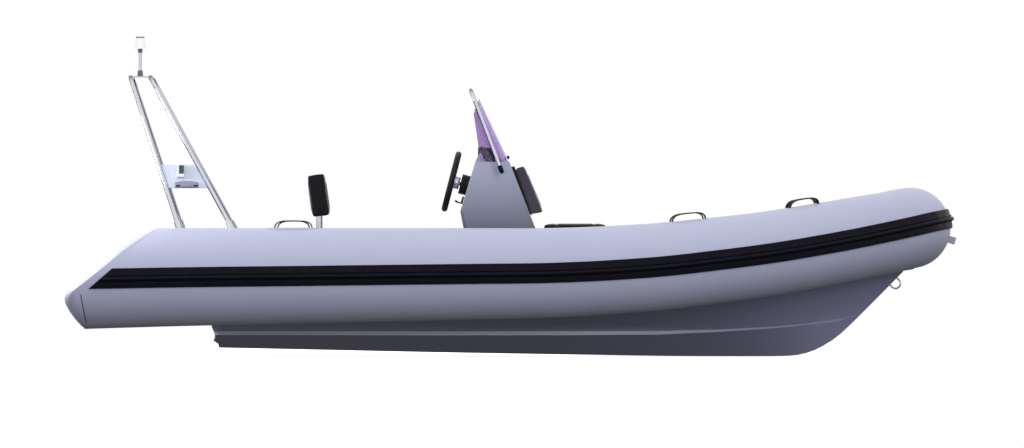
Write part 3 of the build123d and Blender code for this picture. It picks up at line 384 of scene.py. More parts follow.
# %% Non-slip pattern
STUD_DEEP = 0.0011
tread = gelcoat("tread_gelcoat", DECK_COLOUR, DECK_SHADE, roughness=0.33, coat=0.15)
up = tread.ramp(tread.part(tread.node("NewGeometry").outputs["Normal"], "Z"), 0.90, 0.98)
studs = tread.ramp(tread.cells(115), 0.18, 0.46, 1.0, 0.0)
tread.bump(tread.maths("MULTIPLY", studs, up), STUD_DEEP)
# Painted shade: the grooves between the studs are tinted darker.
groove_shade = tread.maths("SUBTRACT", 1.0, studs)
tread.tint(tread.maths("MULTIPLY", groove_shade, tread.maths("MULTIPLY", up, 0.35)), (0.43, 0.44, 0.49))
TREAD_GELCOAT = tread.material

# %% [markdown]
# ### Plastics, vinyl and paint
#
# Grained plastic, marine vinyl and powder paint are told apart less by colour
# than by the size of their grain: leather grain is a web of creases a few
# millimetres wide, moulded plastic has a finer even stipple, and powder paint
# a soft orange peel.


# %% Plastics, vinyl and paint
def grained(name, colour, roughness, cell_scale, depth, sheen=0.0, coat=0.0, shine=0.5):
    made = Finish(name, colour, roughness, sheen=sheen, coat=coat)
    made.put("Specular IOR Level", shine)
    lighter = tuple(min(1.0, c * 1.25 + 0.002) for c in colour)
    made.tint(made.ramp(made.noise(7, 4, 0.6), 0.45, 0.75, 0.0, 0.4), lighter)
    made.vary_roughness(made.noise(30, 3), roughness - 0.06, roughness + 0.08)
    made.bump(made.cells(cell_scale, "DISTANCE_TO_EDGE"), depth)
    return made


LEATHER_GRAIN = 210  # creases, to the metre
BLACK_PLASTIC = grained("dash_black", (0.008, 0.008, 0.011), 0.42, 700, 0.0003, shine=0.25).material
WHEEL_GRIP = grained("wheel_grip", (0.009, 0.009, 0.012), 0.50, 380, 0.0006, shine=0.3).material
BLACK_VINYL = grained(
    "cushion_black", (0.003, 0.003, 0.006), 0.40, LEATHER_GRAIN, 0.0006, sheen=0.03, shine=0.20
).material
GREY_VINYL = grained(
    "cushion_grey", (0.034, 0.035, 0.052), 0.44, LEATHER_GRAIN, 0.0006, sheen=0.30, shine=0.4
).material
WHITE_PAINT = grained("white_plate", (0.64, 0.68, 0.83), 0.34, 160, 0.0002, coat=0.2).material
GREY_PLASTIC = grained("grey_plastic", (0.13, 0.13, 0.16), 0.40, 500, 0.0003).material
HORN_GREY = grained("horn_grey", (0.27, 0.27, 0.37), 0.35, 500, 0.0002).material
WHITE_PLASTIC = grained("white_plastic", (0.80, 0.82, 0.90), 0.36, 400, 0.0002).material

# %% [markdown]
# ### Stainless steel
#
# The pipes are polished, so they mirror the room: bright along the middle, and
# dark along both edges. The dark edges are a painted reflection of what stands
# beside a round pipe: a second colour comes in where the surface turns edge-on.
# A trace of haze is salt and finger marks.

# %% Stainless steel
steel = Finish("stainless", (0.66, 0.68, 0.76), 0.14, metallic=1.0)
steel.vary_roughness(steel.noise(16, 3, 0.6), 0.10, 0.18)
# Painted reflection: the colour darkens towards the pipes' edges.
steel.tint(steel.ramp(steel.edge_on(), 0.28, 0.60), (0.14, 0.14, 0.19))
STAINLESS = steel.material

# %% [markdown]
# ### Clear plastics
#
# The windscreen is tinted acrylic sheet. Its colour comes from light passing
# through it, so it is a transmitting shader with a violet tint. It is painted
# paler edge-on, as a painted reflection. The side lamps have ribbed green and red
# lenses that let little light through, and the mast lamp has an opal one that
# glows faintly and is painted greyer edge-on, as painted shade.


# %% Clear plastics
acrylic = Finish("tinted_acrylic", (0.76, 0.585, 0.945), 0.03)
acrylic.put("Transmission Weight", 1.0)
acrylic.put("IOR", 1.35)
# Painted reflection: the tint is paler where the sheet turns edge-on.
acrylic.tint(acrylic.ramp(acrylic.edge_on(), 0.45, 0.80), (0.86, 0.84, 0.92))
acrylic.bump(acrylic.noise(3.0, 1), 0.0004)
TINTED_ACRYLIC = acrylic.material


def lamp_lens(name, colour, see_through):
    """A ribbed coloured lens over a dark lamp."""
    made = Finish(name, colour, 0.22, coat=0.5)
    made.put("Transmission Weight", see_through)
    made.tint(made.ramp(made.waves(55, "X"), 0.2, 0.8, 0.0, 0.5), tuple(0.45 * c for c in colour))
    return made.material


GREEN_LENS = lamp_lens("green_lens", (0.012, 0.075, 0.022), 0.15)
RED_LENS = lamp_lens("red_lens", (0.30, 0.012, 0.014), 0.15)
opal = Finish("white_lens", (0.97, 0.97, 0.985), 0.25, coat=0.4)
opal.shine_white(0.12)
# Painted shade: the lens turns greyer where it turns edge-on.
opal.tint(opal.ramp(opal.edge_on(), 0.55, 0.85, 0.0, 0.5), (0.70, 0.70, 0.74))
WHITE_LENS = opal.material

# %% Floor finish
pale = Finish("floor", (0.90, 0.90, 0.91), 1.0)
pale.put("Specular IOR Level", 0.0)
pale.tint(pale.ramp(pale.noise(3, 2), 0.4, 0.6, 0.0, 0.3), (0.89, 0.89, 0.905))
pale.shine_white(0.85)
floor.data.materials.append(pale.material)

# %% [markdown]
# ### Which part has which finish
#
# A CAD part keeps its mesh and only gets a new material in its slots. The
# sheet below lists the parts by finish. Parts that a Blender piece replaces
# later are in it too, so nothing is ever left plain.

# %% Finish each CAD part
FINISHES = {
    "collar_side collar_bow tail_cap": TUBE_FABRIC,
    "handle_patches bow_tow_patch": TUBE_FABRIC,
    "strake_side strake_bow handle_1 handle_2 handle_3": BLACK_RUBBER,
    "hull transom": HULL_COAT_PAINTED_LIGHT,
    "deck_liner bow_deck bow_hatch front_seat_lid helm_seat_lid": TREAD_GELCOAT,
    "stern_pod front_seat_locker helm_seat_locker": SMOOTH_GELCOAT,
    "console": CONSOLE_COAT_PAINTED_SHADE,
    "dash_hood helm_bezel console_pad_board": BLACK_PLASTIC,
    "backrest_pad front_seat_cushion helm_seat_cushion": BLACK_VINYL,
    "console_pad": GREY_VINYL,
    "arch_front_hoop arch_rear_hoop arch_sockets windscreen_rail": STAINLESS,
    "bow_eye stern_eyes backrest_posts": STAINLESS,
    "arch_top_plate arch_side_plates": WHITE_PAINT,
    "nav_housings": WHITE_PLASTIC,
    "horn_covers mast_lamp_cap": HORN_GREY,
    "light_mast drain_fitting": GREY_PLASTIC,
    "windscreen": TINTED_ACRYLIC,
    "nav_lens_starboard": GREEN_LENS,
    "nav_lens_port": RED_LENS,
    "mast_lens": WHITE_LENS,
    "steering_wheel": WHEEL_GRIP,
}
SIDES = ((-1, "starboard"), (1, "port"))


def cad_nodes(stem):
    """The node of this name, or its port and starboard twins."""
    return [n for n in (stem, f"{stem}_port", f"{stem}_starboard") if n in nodes]


dressed = set()
for stems, finish in FINISHES.items():
    for stem in stems.split():
        for name in cad_nodes(stem):
            nodes[name].data.materials.clear()
            nodes[name].data.materials.append(finish)
            dressed.add(name)
print("parts without a finish:", sorted(set(nodes) - dressed))

# %% [markdown]
# ## Sweeping along the collar
#
# The collar is one long tube in a U: up the starboard side, round the stem and
# down the port side. Its centreline climbs towards the bow and its radius
# shrinks. Pushing rings along by hand would take dozens of extrusions. A Bezier
# curve does it in one go: each point carries a place, a radius and a tilt, and
# the curve's bevel gives it a round section, or any profile drawn as a second
# curve. Converted to a mesh, it's a clean grid of rings.
#
# One table gives the straight part by x, and the other gives the bow by its
# heading, in degrees from straight ahead. Both give the centre's height and how
# far the rubbing strake stands above the centre.

# %% The collar's centreline
TUBE_OFFSET = 0.798
TUBE_R, TUBE_R_X = 0.277, -2.136  # the tube's radius, and the x that it has it at
TUBE_TAPER = 0.0116  # what the radius loses in a metre towards the bow
BOW_START = 0.700
BOW_R = 2.1545
NOSE_R = 0.350
NOSE_CENTRE = 1.890
NOSE_HEADING = 41.26

STRAIGHT_STATIONS = (
    # x, centre height, strake lift
    (-2.620, 0.205, 0.0),
    (-1.744, 0.220, 0.0),
    (-1.200, 0.226, 0.0),
    (-0.624, 0.233, 0.0),
    (-0.180, 0.238, 0.0),
    (0.272, 0.245, 0.0),
)
BOW_STATIONS = (
    # heading, centre height, strake lift
    (0, 0.268, 0.0),
    (5, 0.283, 0.003),
    (10, 0.304, 0.006),
    (15, 0.326, 0.009),
    (20, 0.350, 0.013),
    (25, 0.378, 0.017),
    (30, 0.407, 0.021),
    (35.6, 0.439, 0.028),
    (NOSE_HEADING, 0.469, 0.037),
    (53, 0.480, 0.044),
    (65, 0.487, 0.049),
    (77.5, 0.4915, 0.052),
    (90, 0.493, 0.053),
)


def tube_radius(x):
    return TUBE_R - TUBE_TAPER * (x - TUBE_R_X)


def bow_point(heading):
    """Starboard centreline in plan, where it has this heading in degrees."""
    turn = radians(heading)
    if heading <= NOSE_HEADING:
        return BOW_START + BOW_R * sin(turn), -TUBE_OFFSET + BOW_R * (1 - cos(turn))
    return NOSE_CENTRE + NOSE_R * sin(turn), -NOSE_R * cos(turn)


def between(table, x, column, fair=False):
    """A column of a table at x, straight between its rows or as a fair curve."""
    number = max(n for n, row in enumerate(table[:-1]) if row[0] <= x)
    (x0, y0), (x1, y1) = [(row[0], row[column]) for row in table[number : number + 2]]
    share = (x - x0) / (x1 - x0)
    if not fair:
        return y0 + (y1 - y0) * share
    slopes = []
    for place in (number, number + 1):
        aft, fore = table[max(place - 1, 0)], table[min(place + 1, len(table) - 1)]
        slopes.append((fore[column] - aft[column]) / (fore[0] - aft[0]) * (x1 - x0))
    return (
        y0 * (1 + 2 * share) * (1 - share) ** 2
        + slopes[0] * share * (1 - share) ** 2
        + y1 * (3 - 2 * share) * share**2
        - slopes[1] * (1 - share) * share**2
    )


def tube_plan(x):
    """Heading of the starboard centreline at x, and its distance from the middle plane."""
    turn = 0.0 if x <= BOW_START else asin((x - BOW_START) / BOW_R)
    return turn, TUBE_OFFSET - BOW_R * (1 - cos(turn))


def tube_height(x):
    """Height of the centreline at x."""
    return between(starboard_line, x, 2)


stations = [(x, -TUBE_OFFSET, z, 0, lift) for x, z, lift in STRAIGHT_STATIONS]
stations += [(*bow_point(heading), z, heading, lift) for heading, z, lift in BOW_STATIONS]
starboard_line = tuple(stations)
stations += [(x, -y, z, 180 - heading, lift) for x, y, z, heading, lift in reversed(stations[:-1])]
print(f"{len(stations)} stations along the collar")


# %% Helpers for curves and pieces
def pick(piece):
    """Selects one piece alone and makes it the active one."""
    bpy.ops.object.select_all(action="DESELECT")
    piece.select_set(True)
    bpy.context.view_layer.objects.active = piece


def edit(piece):
    """Goes into edit mode on one piece, with everything in it selected."""
    pick(piece)
    bpy.ops.object.mode_set(mode="EDIT")
    bpy.ops.mesh.select_all(action="SELECT")


def faced_outwards(piece, merge=0.0):
    """Merges points closer than this, and turns all faces of a closed form outwards."""
    edit(piece)
    if merge:
        bpy.ops.mesh.remove_doubles(threshold=merge)
    bpy.ops.mesh.normals_make_consistent(inside=False)
    bpy.ops.object.mode_set(mode="OBJECT")


def shaped(piece, kind, **settings):
    """Puts a modifier with these settings on a piece and applies it."""
    pick(piece)
    modifier = piece.modifiers.new(kind.lower(), kind)
    for key, value in settings.items():
        setattr(modifier, key, value)
    bpy.ops.object.modifier_apply(modifier=modifier.name)


def new_curve(name, dimensions):
    """A curve to be shaped, selected alone."""
    bpy.ops.object.select_all(action="DESELECT")
    bpy.ops.curve.primitive_bezier_curve_add()
    made = bpy.context.object
    made.name = name
    made.data.dimensions = dimensions
    return made


def outline(name, corners):
    """A flat profile curve: x points outboard and y up when it's swept along the collar."""
    made = new_curve(name, "2D")
    made.data.splines.clear()
    spline = made.data.splines.new("POLY")
    spline.points.add(len(corners) - 1)
    for point, (x, y) in zip(spline.points, corners):
        point.co = (x, y, 0, 1)
    spline.use_cyclic_u = True
    return made


def sweep(name, places, radii=None, tilts=None, profile=None, round_r=1.0, steps=8, sides=44):
    """A mesh swept along a smooth line through places, with a profile or a round section."""
    made = new_curve(name, "3D")
    line = made.data
    line.twist_mode = "Z_UP"
    line.resolution_u = steps
    spline = line.splines[0]
    spline.bezier_points.add(len(places) - 2)
    for number, (point, place) in enumerate(zip(spline.bezier_points, places)):
        point.co = place
        point.handle_left_type = point.handle_right_type = "AUTO"
        point.radius = radii[number] if radii else 1.0
        point.tilt = tilts[number] if tilts else 0.0
    if profile:
        line.bevel_mode = "OBJECT"
        line.bevel_object = profile
    else:
        line.bevel_depth = round_r
        line.bevel_resolution = sides
    line.use_fill_caps = True
    bpy.ops.object.convert(target="MESH")
    if profile:
        bpy.data.objects.remove(profile)
    return bpy.context.object


def merged(name, pieces):
    """Joins pieces into one object."""
    pick(pieces[0])
    for piece in pieces:
        piece.select_set(True)
    if len(pieces) > 1:
        bpy.ops.object.join()
    pieces[0].name = pieces[0].data.name = name
    return pieces[0]


def dress(piece, finish, slot, *replaced, body="root", smooth=35):
    """Gives a piece its finish, shading and body, and hides the CAD parts it stands for."""
    piece.data.materials.clear()
    piece.data.materials.append(finish)
    pick(piece)
    bpy.ops.object.shade_smooth_by_angle(angle=radians(smooth))
    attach(piece, body)
    if replaced:
        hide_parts(*replaced)
    print(f"{piece.name}: {len(piece.data.polygons)} faces")
    return piece


# %% [markdown]
# ## The tube and its cut tails
#
# Each tail of the real collar is cut off at a slant from above, and steeply
# from behind, and closed with a sewn cap. So the sweep runs on too far aft,
# and two bisects in edit mode cut it along those two planes and fill the cuts,
# port and starboard at once, because the planes cross the whole boat.

# %% The tube
TAIL_TOP = Vector((-1.982, 0, 0.489))
TAIL_KNEE = Vector((-2.446, 0, 0.138))
TAIL_FOOT = Vector((-2.383, 0, -0.072))

tube = sweep(
    "collar_tube",
    [station[:3] for station in stations],
    radii=[tube_radius(station[0]) for station in stations],
)
edit(tube)
for upper, lower in ((TAIL_TOP, TAIL_KNEE), (TAIL_KNEE, TAIL_FOOT)):
    down = lower - upper
    astern = Vector((down.z, 0, -down.x)).normalized()
    bpy.ops.mesh.select_all(action="SELECT")
    bpy.ops.mesh.bisect(
        plane_co=upper, plane_no=astern, use_fill=True,
        clear_outer=astern.x < 0, clear_inner=astern.x > 0,
    )
bpy.ops.object.mode_set(mode="OBJECT")
dress(tube, TUBE_FABRIC, "tube_fabric", *cad_nodes("collar_side"), *cad_nodes("collar_bow"))

# %% [markdown]
# ## Tail caps
#
# Air pressure bulges the caps like a pillow: fullest along the middle, and
# flush with the tube at the sewn rim. A grid is bent into that shape. Its rows
# run from the crown of the tube down to its foot. The table gives each row a
# point on the cut and the outermost point of the bulge, and across a row the
# bulge follows a half ellipse.

# %% Tail caps
CAP_ROWS = (
    # on the cut: x, z; outermost: x, z
    (-1.982, 0.489, -1.982, 0.489),
    (-2.020, 0.460, -2.032, 0.467),
    (-2.070, 0.422, -2.086, 0.443),
    (-2.122, 0.383, -2.150, 0.416),
    (-2.175, 0.343, -2.202, 0.381),
    (-2.230, 0.301, -2.255, 0.336),
    (-2.290, 0.256, -2.310, 0.284),
    (-2.350, 0.211, -2.367, 0.229),
    (-2.405, 0.169, -2.420, 0.180),
    (-2.436, 0.146, -2.458, 0.150),
    (-2.446, 0.132, -2.486, 0.130),
    (-2.440, 0.112, -2.498, 0.104),
    (-2.430, 0.084, -2.492, 0.074),
    (-2.420, 0.050, -2.476, 0.044),
    (-2.410, 0.014, -2.457, 0.012),
    (-2.399, -0.020, -2.432, -0.020),
    (-2.390, -0.048, -2.407, -0.047),
    (-2.383, -0.072, -2.383, -0.072),
)
CAP_COLUMNS = 24
FULLNESS = 0.8  # below 1, the bulge is fuller near the rim


def cap_rim(x, z):
    """Half width of the tube's section at this point of the cut."""
    radius = tube_radius(x)
    return sqrt(max(radius**2 - (z - tube_height(x)) ** 2, 0.0))


def bent_grid(name, rows, columns, place):
    """A grid, each point put where place(row, across) says, with across from -1 to 1."""
    bpy.ops.object.select_all(action="DESELECT")
    bpy.ops.mesh.primitive_grid_add(x_subdivisions=rows, y_subdivisions=columns, size=2)
    made = bpy.context.object
    made.name = name
    for vertex in made.data.vertices:
        vertex.co = place(round((vertex.co.x + 1) / 2 * rows), vertex.co.y)
    return made


def on_cap(row, across, side):
    """A point of a tail cap."""
    x, z, out_x, out_z = CAP_ROWS[row]
    angle = radians(90 * across)
    swell = cos(angle) ** FULLNESS if abs(across) < 0.999 else 0.0
    return (
        x + (out_x - x) * swell,
        side * TUBE_OFFSET + cap_rim(x, z) * sin(angle),
        z + (out_z - z) * swell,
    )


for side, name in SIDES:
    cap = bent_grid(
        f"sewn_tail_cap_{name}", len(CAP_ROWS) - 1, CAP_COLUMNS,
        lambda row, across: on_cap(row, across, side),
    )
    faced_outwards(cap, merge=0.0004)
    shaped(cap, "SUBSURF", levels=1, render_levels=1)
    dress(cap, TUBE_FABRIC, "tube_fabric", f"tail_cap_{name}", smooth=60)

# %% [markdown]
# ## Rubbing strake
#
# The black strake is an extruded rubber section glued along the widest line of
# the collar, and it takes the knocks alongside a quay. It has a flat band, a
# small rib and a blunt fender ridge under it, which shades the lower half of
# the band. The section is drawn once as a profile and swept along the skin.

# %% Rubbing strake
STRAKE_PROFILE = (
    # outboard, up
    (-0.006, 0.052), (-0.001, 0.056), (0.003, 0.0555), (0.0065, 0.052), (0.0085, 0.040),
    (0.0095, 0.024), (0.0105, 0.0215), (0.0150, 0.0195), (0.0165, 0.0160), (0.0155, 0.0125),
    (0.0120, 0.0110), (0.0120, 0.0095), (0.0190, 0.0070), (0.0240, 0.0030), (0.0262, -0.0030),
    (0.0255, -0.0085), (0.0225, -0.0130), (0.0150, -0.0160), (0.0105, -0.0185), (0.0095, -0.0220),
    (0.0095, -0.0280), (0.0085, -0.0420), (0.0060, -0.0535), (0.0020, -0.0560), (-0.003, -0.0550),
    (-0.006, -0.0520), (-0.003, 0.0),
)
STRAKE_END = ((-2.3480, 0.1600), (-2.2210, 0.2710))  # x, z of two points on the cut


def on_tube(x, y, z, heading, lift):
    """The strake's place on the tube at a station, and the tilt that lays it on the skin."""
    slope = asin(lift / tube_radius(x))
    out = tube_radius(x) * cos(slope)
    turn = radians(heading)
    return (x + out * sin(turn), y - out * cos(turn), z + lift), -slope


strake_path, strake_tilt = zip(*[on_tube(*station) for station in stations])
strake_profile = outline("strake_profile", STRAKE_PROFILE)
strake = sweep("ribbed_strake", strake_path, tilts=strake_tilt, profile=strake_profile)
edit(strake)
after_low, after_high = (Vector((x, 0, z)) for x, z in STRAKE_END)
along = after_high - after_low
bpy.ops.mesh.bisect(
    plane_co=after_low, plane_no=Vector((-along.z, 0, along.x)).normalized(),
    clear_outer=True, use_fill=True,
)
bpy.ops.object.mode_set(mode="OBJECT")
faced_outwards(strake)
dress(strake, BLACK_RUBBER, "black_rubber", *cad_nodes("strake_side"), *cad_nodes("strake_bow"))

# %% [markdown]
# ## Cushions
#
# A boat cushion is a foam block in a sewn vinyl cover. The foam pushes the
# cover out a little everywhere but at the seams, so no face is quite flat and
# the corners stay pinched. Cloth simulation gives just that: the solid is
# copied, shrunk by a few millimetres, remeshed into even squares, and blown up
# by pressure without gravity. Every point may move only so far, which stands
# in for the foam. Where a cushion rests on its board it stays flat.

# %% Shrink the cushions to their foam
PADS = (
    # CAD solid, body, shrink, furthest move
    ("front_seat_cushion", "front_lid", 0.005, 0.011),
    ("helm_seat_cushion", "helm_lid", 0.005, 0.013),
    ("backrest_pad", "root", 0.003, 0.008),
    ("console_pad", "root", 0.004, 0.008),
)
PAD_VOXEL = 0.006


def middle_and_size(source):
    """Middle and size of a CAD part's box."""
    low, high = (Vector(corner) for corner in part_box(source))
    return (low + high) / 2, high - low


pads = {}
for source, _, shrink, _ in PADS:
    pad = nodes[source].copy()
    pad.data = nodes[source].data.copy()
    pad.name = pad.data.name = f"sewn_{source}"
    bpy.context.collection.objects.link(pad)
    pad.parent = None
    pad.matrix_world = Matrix.Identity(4)
    middle, size = middle_and_size(source)
    smaller = [1 - 2 * shrink / length for length in size]
    edit(pad)
    bpy.ops.mesh.remove_doubles(threshold=0.0002)
    bpy.ops.transform.resize(value=smaller, center_override=middle)
    bpy.ops.object.mode_set(mode="OBJECT")
    shaped(pad, "REMESH", mode="VOXEL", voxel_size=PAD_VOXEL)
    pads[source] = pad

# %% Inflate them
PAD_PRESSURE = 4.0
PAD_FRAMES = 20
EVEN_ROUNDS = 30


def evened(moves, edges):
    """Shares each point's move with its neighbours, so that the cover swells without creases."""
    for _ in range(EVEN_ROUNDS):
        totals, counts = [move.copy() for move in moves], [1] * len(moves)
        for one, other in edges:
            totals[one] += moves[other]
            totals[other] += moves[one]
            counts[one] += 1
            counts[other] += 1
        moves = [total / count for total, count in zip(totals, counts)]
    return moves


before = {}
for source, pad in pads.items():
    before[source] = [vertex.co.copy() for vertex in pad.data.vertices]
    cloth = pad.modifiers.new("cover", "CLOTH")
    cloth.settings.use_pressure = True
    cloth.settings.uniform_pressure_force = PAD_PRESSURE
    cloth.settings.effector_weights.gravity = 0
    cloth.settings.quality = 4
    cloth.collision_settings.use_collision = False
    cloth.point_cache.frame_end = PAD_FRAMES
for step in range(1, PAD_FRAMES + 1):
    bpy.context.scene.frame_set(step)
for source, _, _, reach in PADS:
    pad = pads[source]
    pick(pad)
    bpy.ops.object.modifier_apply(modifier="cover")
    moves = [vertex.co - start for vertex, start in zip(pad.data.vertices, before[source])]
    furthest = max(move.length for move in moves)
    print(f"{source}: the cover wanted to move {furthest * 1000:.0f} mm")
    moves = [move * min(1.0, reach / max(move.length, 1e-9)) for move in moves]
    moves = evened(moves, [tuple(edge.vertices) for edge in pad.data.edges])
    for vertex, start, move in zip(pad.data.vertices, before[source], moves):
        vertex.co = start + move
bpy.context.scene.frame_set(1)

# %% [markdown]
# After the simulation each cushion gets its seams. A stitched seam pulls the
# cover into the foam along a line, so the points near the line are moved
# inwards, less and less with distance. The seat cushions have two seams across.
# The backrest and the console's pad have one round the face.

# %% Sewn channels
SEAM_DEEP = 0.005
SEAM_WIDE = 0.007
BOARD_GAP = 0.0005  # between a cushion's flat underside and its lid
CONSOLE_SLOPE = 0.43  # how much further forward the console's pad is, a metre lower down
FLAT_SIDE, FADE_IN = 0.03, 0.02  # a seam starts this far above the lid, and deepens over this
SEAT_SEAMS = {"front_seat_cushion": 0.105, "helm_seat_cushion": 0.115}  # from the middle
BACKREST_SEAM, CHEST_SEAM = (0.215, 0.080), (0.170, 0.095)  # half width, half height


def clipped(value):
    return min(1.0, max(0.0, value))


def pull_in(pad, distance_to_seam, inwards):
    """Moves points near a seam into the foam along a direction."""
    for vertex in pad.data.vertices:
        share = exp(-((distance_to_seam(vertex.co) / SEAM_WIDE) ** 2))
        vertex.co += Vector(inwards(vertex.co)) * SEAM_DEEP * share


def round_face(middle, half_wide, half_high):
    """Distance to a seam that runs round an upright face as a rectangle."""
    return lambda co: abs(max(abs(co.y) - half_wide, abs(co.z - middle.z) - half_high))


for source, offset in SEAT_SEAMS.items():
    middle, size = middle_and_size(source)
    board = middle.z - size.z / 2
    pull_in(
        pads[source],
        lambda co: abs(abs(co.x - middle.x) - offset),
        lambda co: (0, 0, -clipped((co.z - board - FLAT_SIDE) / FADE_IN)),
    )
    for vertex in pads[source].data.vertices:
        vertex.co.z = max(vertex.co.z, board + BOARD_GAP)

rest, _ = middle_and_size("backrest_pad")
pull_in(
    pads["backrest_pad"],
    round_face(rest, *BACKREST_SEAM),
    lambda co: (-clipped((co.x - rest.x) / 0.03), 0, 0),
)
chest, _ = middle_and_size("console_pad")
pull_in(
    pads["console_pad"],
    round_face(chest, *CHEST_SEAM),
    lambda co: (-0.8 * clipped((co.x - chest.x + CONSOLE_SLOPE * (co.z - chest.z)) / 0.02), 0, 0),
)

PAD_FINISH = {"console_pad": (GREY_VINYL, "cushion_grey")}
for source, body, _, _ in PADS:
    pad = pads[source]
    shaped(pad, "SMOOTH", factor=0.5, iterations=3)
    shaped(pad, "SUBSURF", levels=1, render_levels=1)
    finish, slot = PAD_FINISH.get(source, (BLACK_VINYL, "cushion_black"))
    dress(pad, finish, slot, source, body=body, smooth=180)

# %% [markdown]
# ## Grab handles
#
# A grab handle is a stiff rubber strap bowed between two feet on a fabric
# patch. Each strap is a flat profile swept along an arch. The arch stands on
# the crown of the tube and leans with it where the tube climbs to the bow.

# %% Grab handles
HANDLES = (
    # x, half length
    (-1.225, 0.098),
    (0.990, 0.095),
    (1.634, 0.090),
)
HANDLE_ARCH = (
    # along the handle as a share of the half length, height above the tube
    (-1.00, -0.006), (-0.97, 0.010), (-0.86, 0.026), (-0.62, 0.0365), (-0.30, 0.0395),
    (0.0, 0.0400),
    (0.30, 0.0395), (0.62, 0.0365), (0.86, 0.026), (0.97, 0.010), (1.00, -0.006),
)
STRAP_PROFILE = (
    (-0.0150, 0.0012), (-0.0138, 0.0030), (-0.0060, 0.0036),
    (0.0060, 0.0036), (0.0138, 0.0030), (0.0150, 0.0012),
    (0.0150, -0.0012), (0.0138, -0.0030), (0.0060, -0.0036),
    (-0.0060, -0.0036), (-0.0138, -0.0030), (-0.0150, -0.0012),
)
CLIMB_STEP = 0.05


def crown(x):
    """Height of the tube's top at x."""
    return tube_height(x) + tube_radius(x)


for number, (x, half) in enumerate(HANDLES, 1):
    turn, offset = tube_plan(x)
    rise = crown(x + CLIMB_STEP) - crown(x - CLIMB_STEP)
    climb = rise * cos(turn) / (2 * CLIMB_STEP)
    for side, name in SIDES:
        places = [
            (
                x + share * half * cos(turn),
                side * (offset - share * half * sin(turn)),
                crown(x) + share * half * climb + height,
            )
            for share, height in HANDLE_ARCH
        ]
        strap_profile = outline("strap_profile", STRAP_PROFILE)
        strap = sweep(f"grab_strap_{number}_{name}", places, profile=strap_profile, steps=5)
        faced_outwards(strap)
        dress(strap, BLACK_RUBBER, "black_rubber", f"handle_{number}_{name}", smooth=50)

# %% [markdown]
# ## Bottom skin and spray rails
#
# A hull mould is faired by hand until no station shows in it, so the bottom is
# one smooth sweep from the transom to a rounded forefoot. The CAD hull runs
# straight from station to station. A thin skin goes over it, three
# millimetres proud, with the keel drawn as a fair curve and soft shading all over.
#
# Along each side of the bottom runs a spray rail, a narrow ledge that throws
# water outwards. Its face leans back, so it catches the light, and its coat is
# painted nearly white aft as a painted highlight, so it shows as a thin bright
# line over the dark bottom.

# %% Bottom skin
HULL_STATIONS = (
    # x, keel height, rail offset, rail foot, rail top
    (-1.950, -0.170, 0.222, -0.104, -0.084),
    (-1.200, -0.186, 0.240, -0.105, -0.085),
    (-0.400, -0.203, 0.270, -0.106, -0.086),
    (0.300, -0.215, 0.292, -0.105, -0.085),
    (0.832, -0.223, 0.304, -0.101, -0.084),
    (1.170, -0.225, 0.270, -0.086, -0.077),
    (1.400, -0.225, 0.225, -0.071, -0.064),
    (1.504, -0.224, 0.197, -0.063, -0.057),
    (1.616, -0.217, 0.160, -0.052, -0.047),
    (1.728, -0.180, 0.105, -0.037, -0.033),
    (1.840, -0.106, 0.048, -0.027, -0.023),
    (1.952, 0.000, 0.010, 0.0140, 0.0145),
    (2.064, 0.112, 0.005, 0.1210, 0.1215),
    (2.200, 0.250, 0.006, 0.2560, 0.2565),
)
STEM_HEAD_CHINE = Vector((0.030, 0.280))  # the skin's upper edge at the last station
CHINE_REACH = 0.003  # the hull's upper edge lies this far off the tube
SKIN_PROUD = 0.003
RAIL_PROUD = 0.010
FULL_LEDGE = 0.012  # a rail lower than this stands out less
SKIN_ROWS = 84
SKIN_STEPS = (6, 2, 8)  # from the keel: to the rail's foot, up the rail, on to the tube
HALF_COLUMNS = sum(SKIN_STEPS)
TRANSOM_FOOT = Vector((-1.6436, 0, -0.174))
TRANSOM_RAKE = radians(17.5)
AFT_X, FORE_X = HULL_STATIONS[0][0], HULL_STATIONS[-1][0]


def row_x(row):
    return AFT_X + (FORE_X - AFT_X) * row / SKIN_ROWS


def half_section(x):
    """Keel, rail foot, rail top and upper edge of the skin at x, as offset and height."""
    keel = between(HULL_STATIONS, x, 1, fair=True)
    rail, foot, top = (between(HULL_STATIONS, x, column) for column in (2, 3, 4))
    last_x = HULL_STATIONS[-2][0]
    tube_x = min(x, last_x)
    turn, offset = tube_plan(tube_x)
    reach = (tube_radius(tube_x) + CHINE_REACH) * sqrt(0.5)
    edge = Vector((offset - reach / cos(turn), tube_height(tube_x) - reach))
    if x > last_x:
        edge = edge.lerp(STEM_HEAD_CHINE, (x - last_x) / (FORE_X - last_x))
    ledge = RAIL_PROUD * min(1.0, (top - foot) / FULL_LEDGE)
    return [
        Vector((0, keel - SKIN_PROUD)),
        Vector((rail + ledge, foot - SKIN_PROUD)),
        Vector((rail + SKIN_PROUD, top)),
        edge + Vector((0.4, -0.9)) * SKIN_PROUD,
    ]


sections = [half_section(row_x(row)) for row in range(SKIN_ROWS + 1)]


def on_skin(row, across):
    """A point of the skin; its columns count from the keel to either side."""
    column = round(across * HALF_COLUMNS)
    step = abs(column)
    for corner, steps in enumerate(SKIN_STEPS):
        if step <= steps:
            break
        step -= steps
    offset, height = sections[row][corner].lerp(sections[row][corner + 1], step / steps)
    return row_x(row), offset if column > 0 else -offset, height


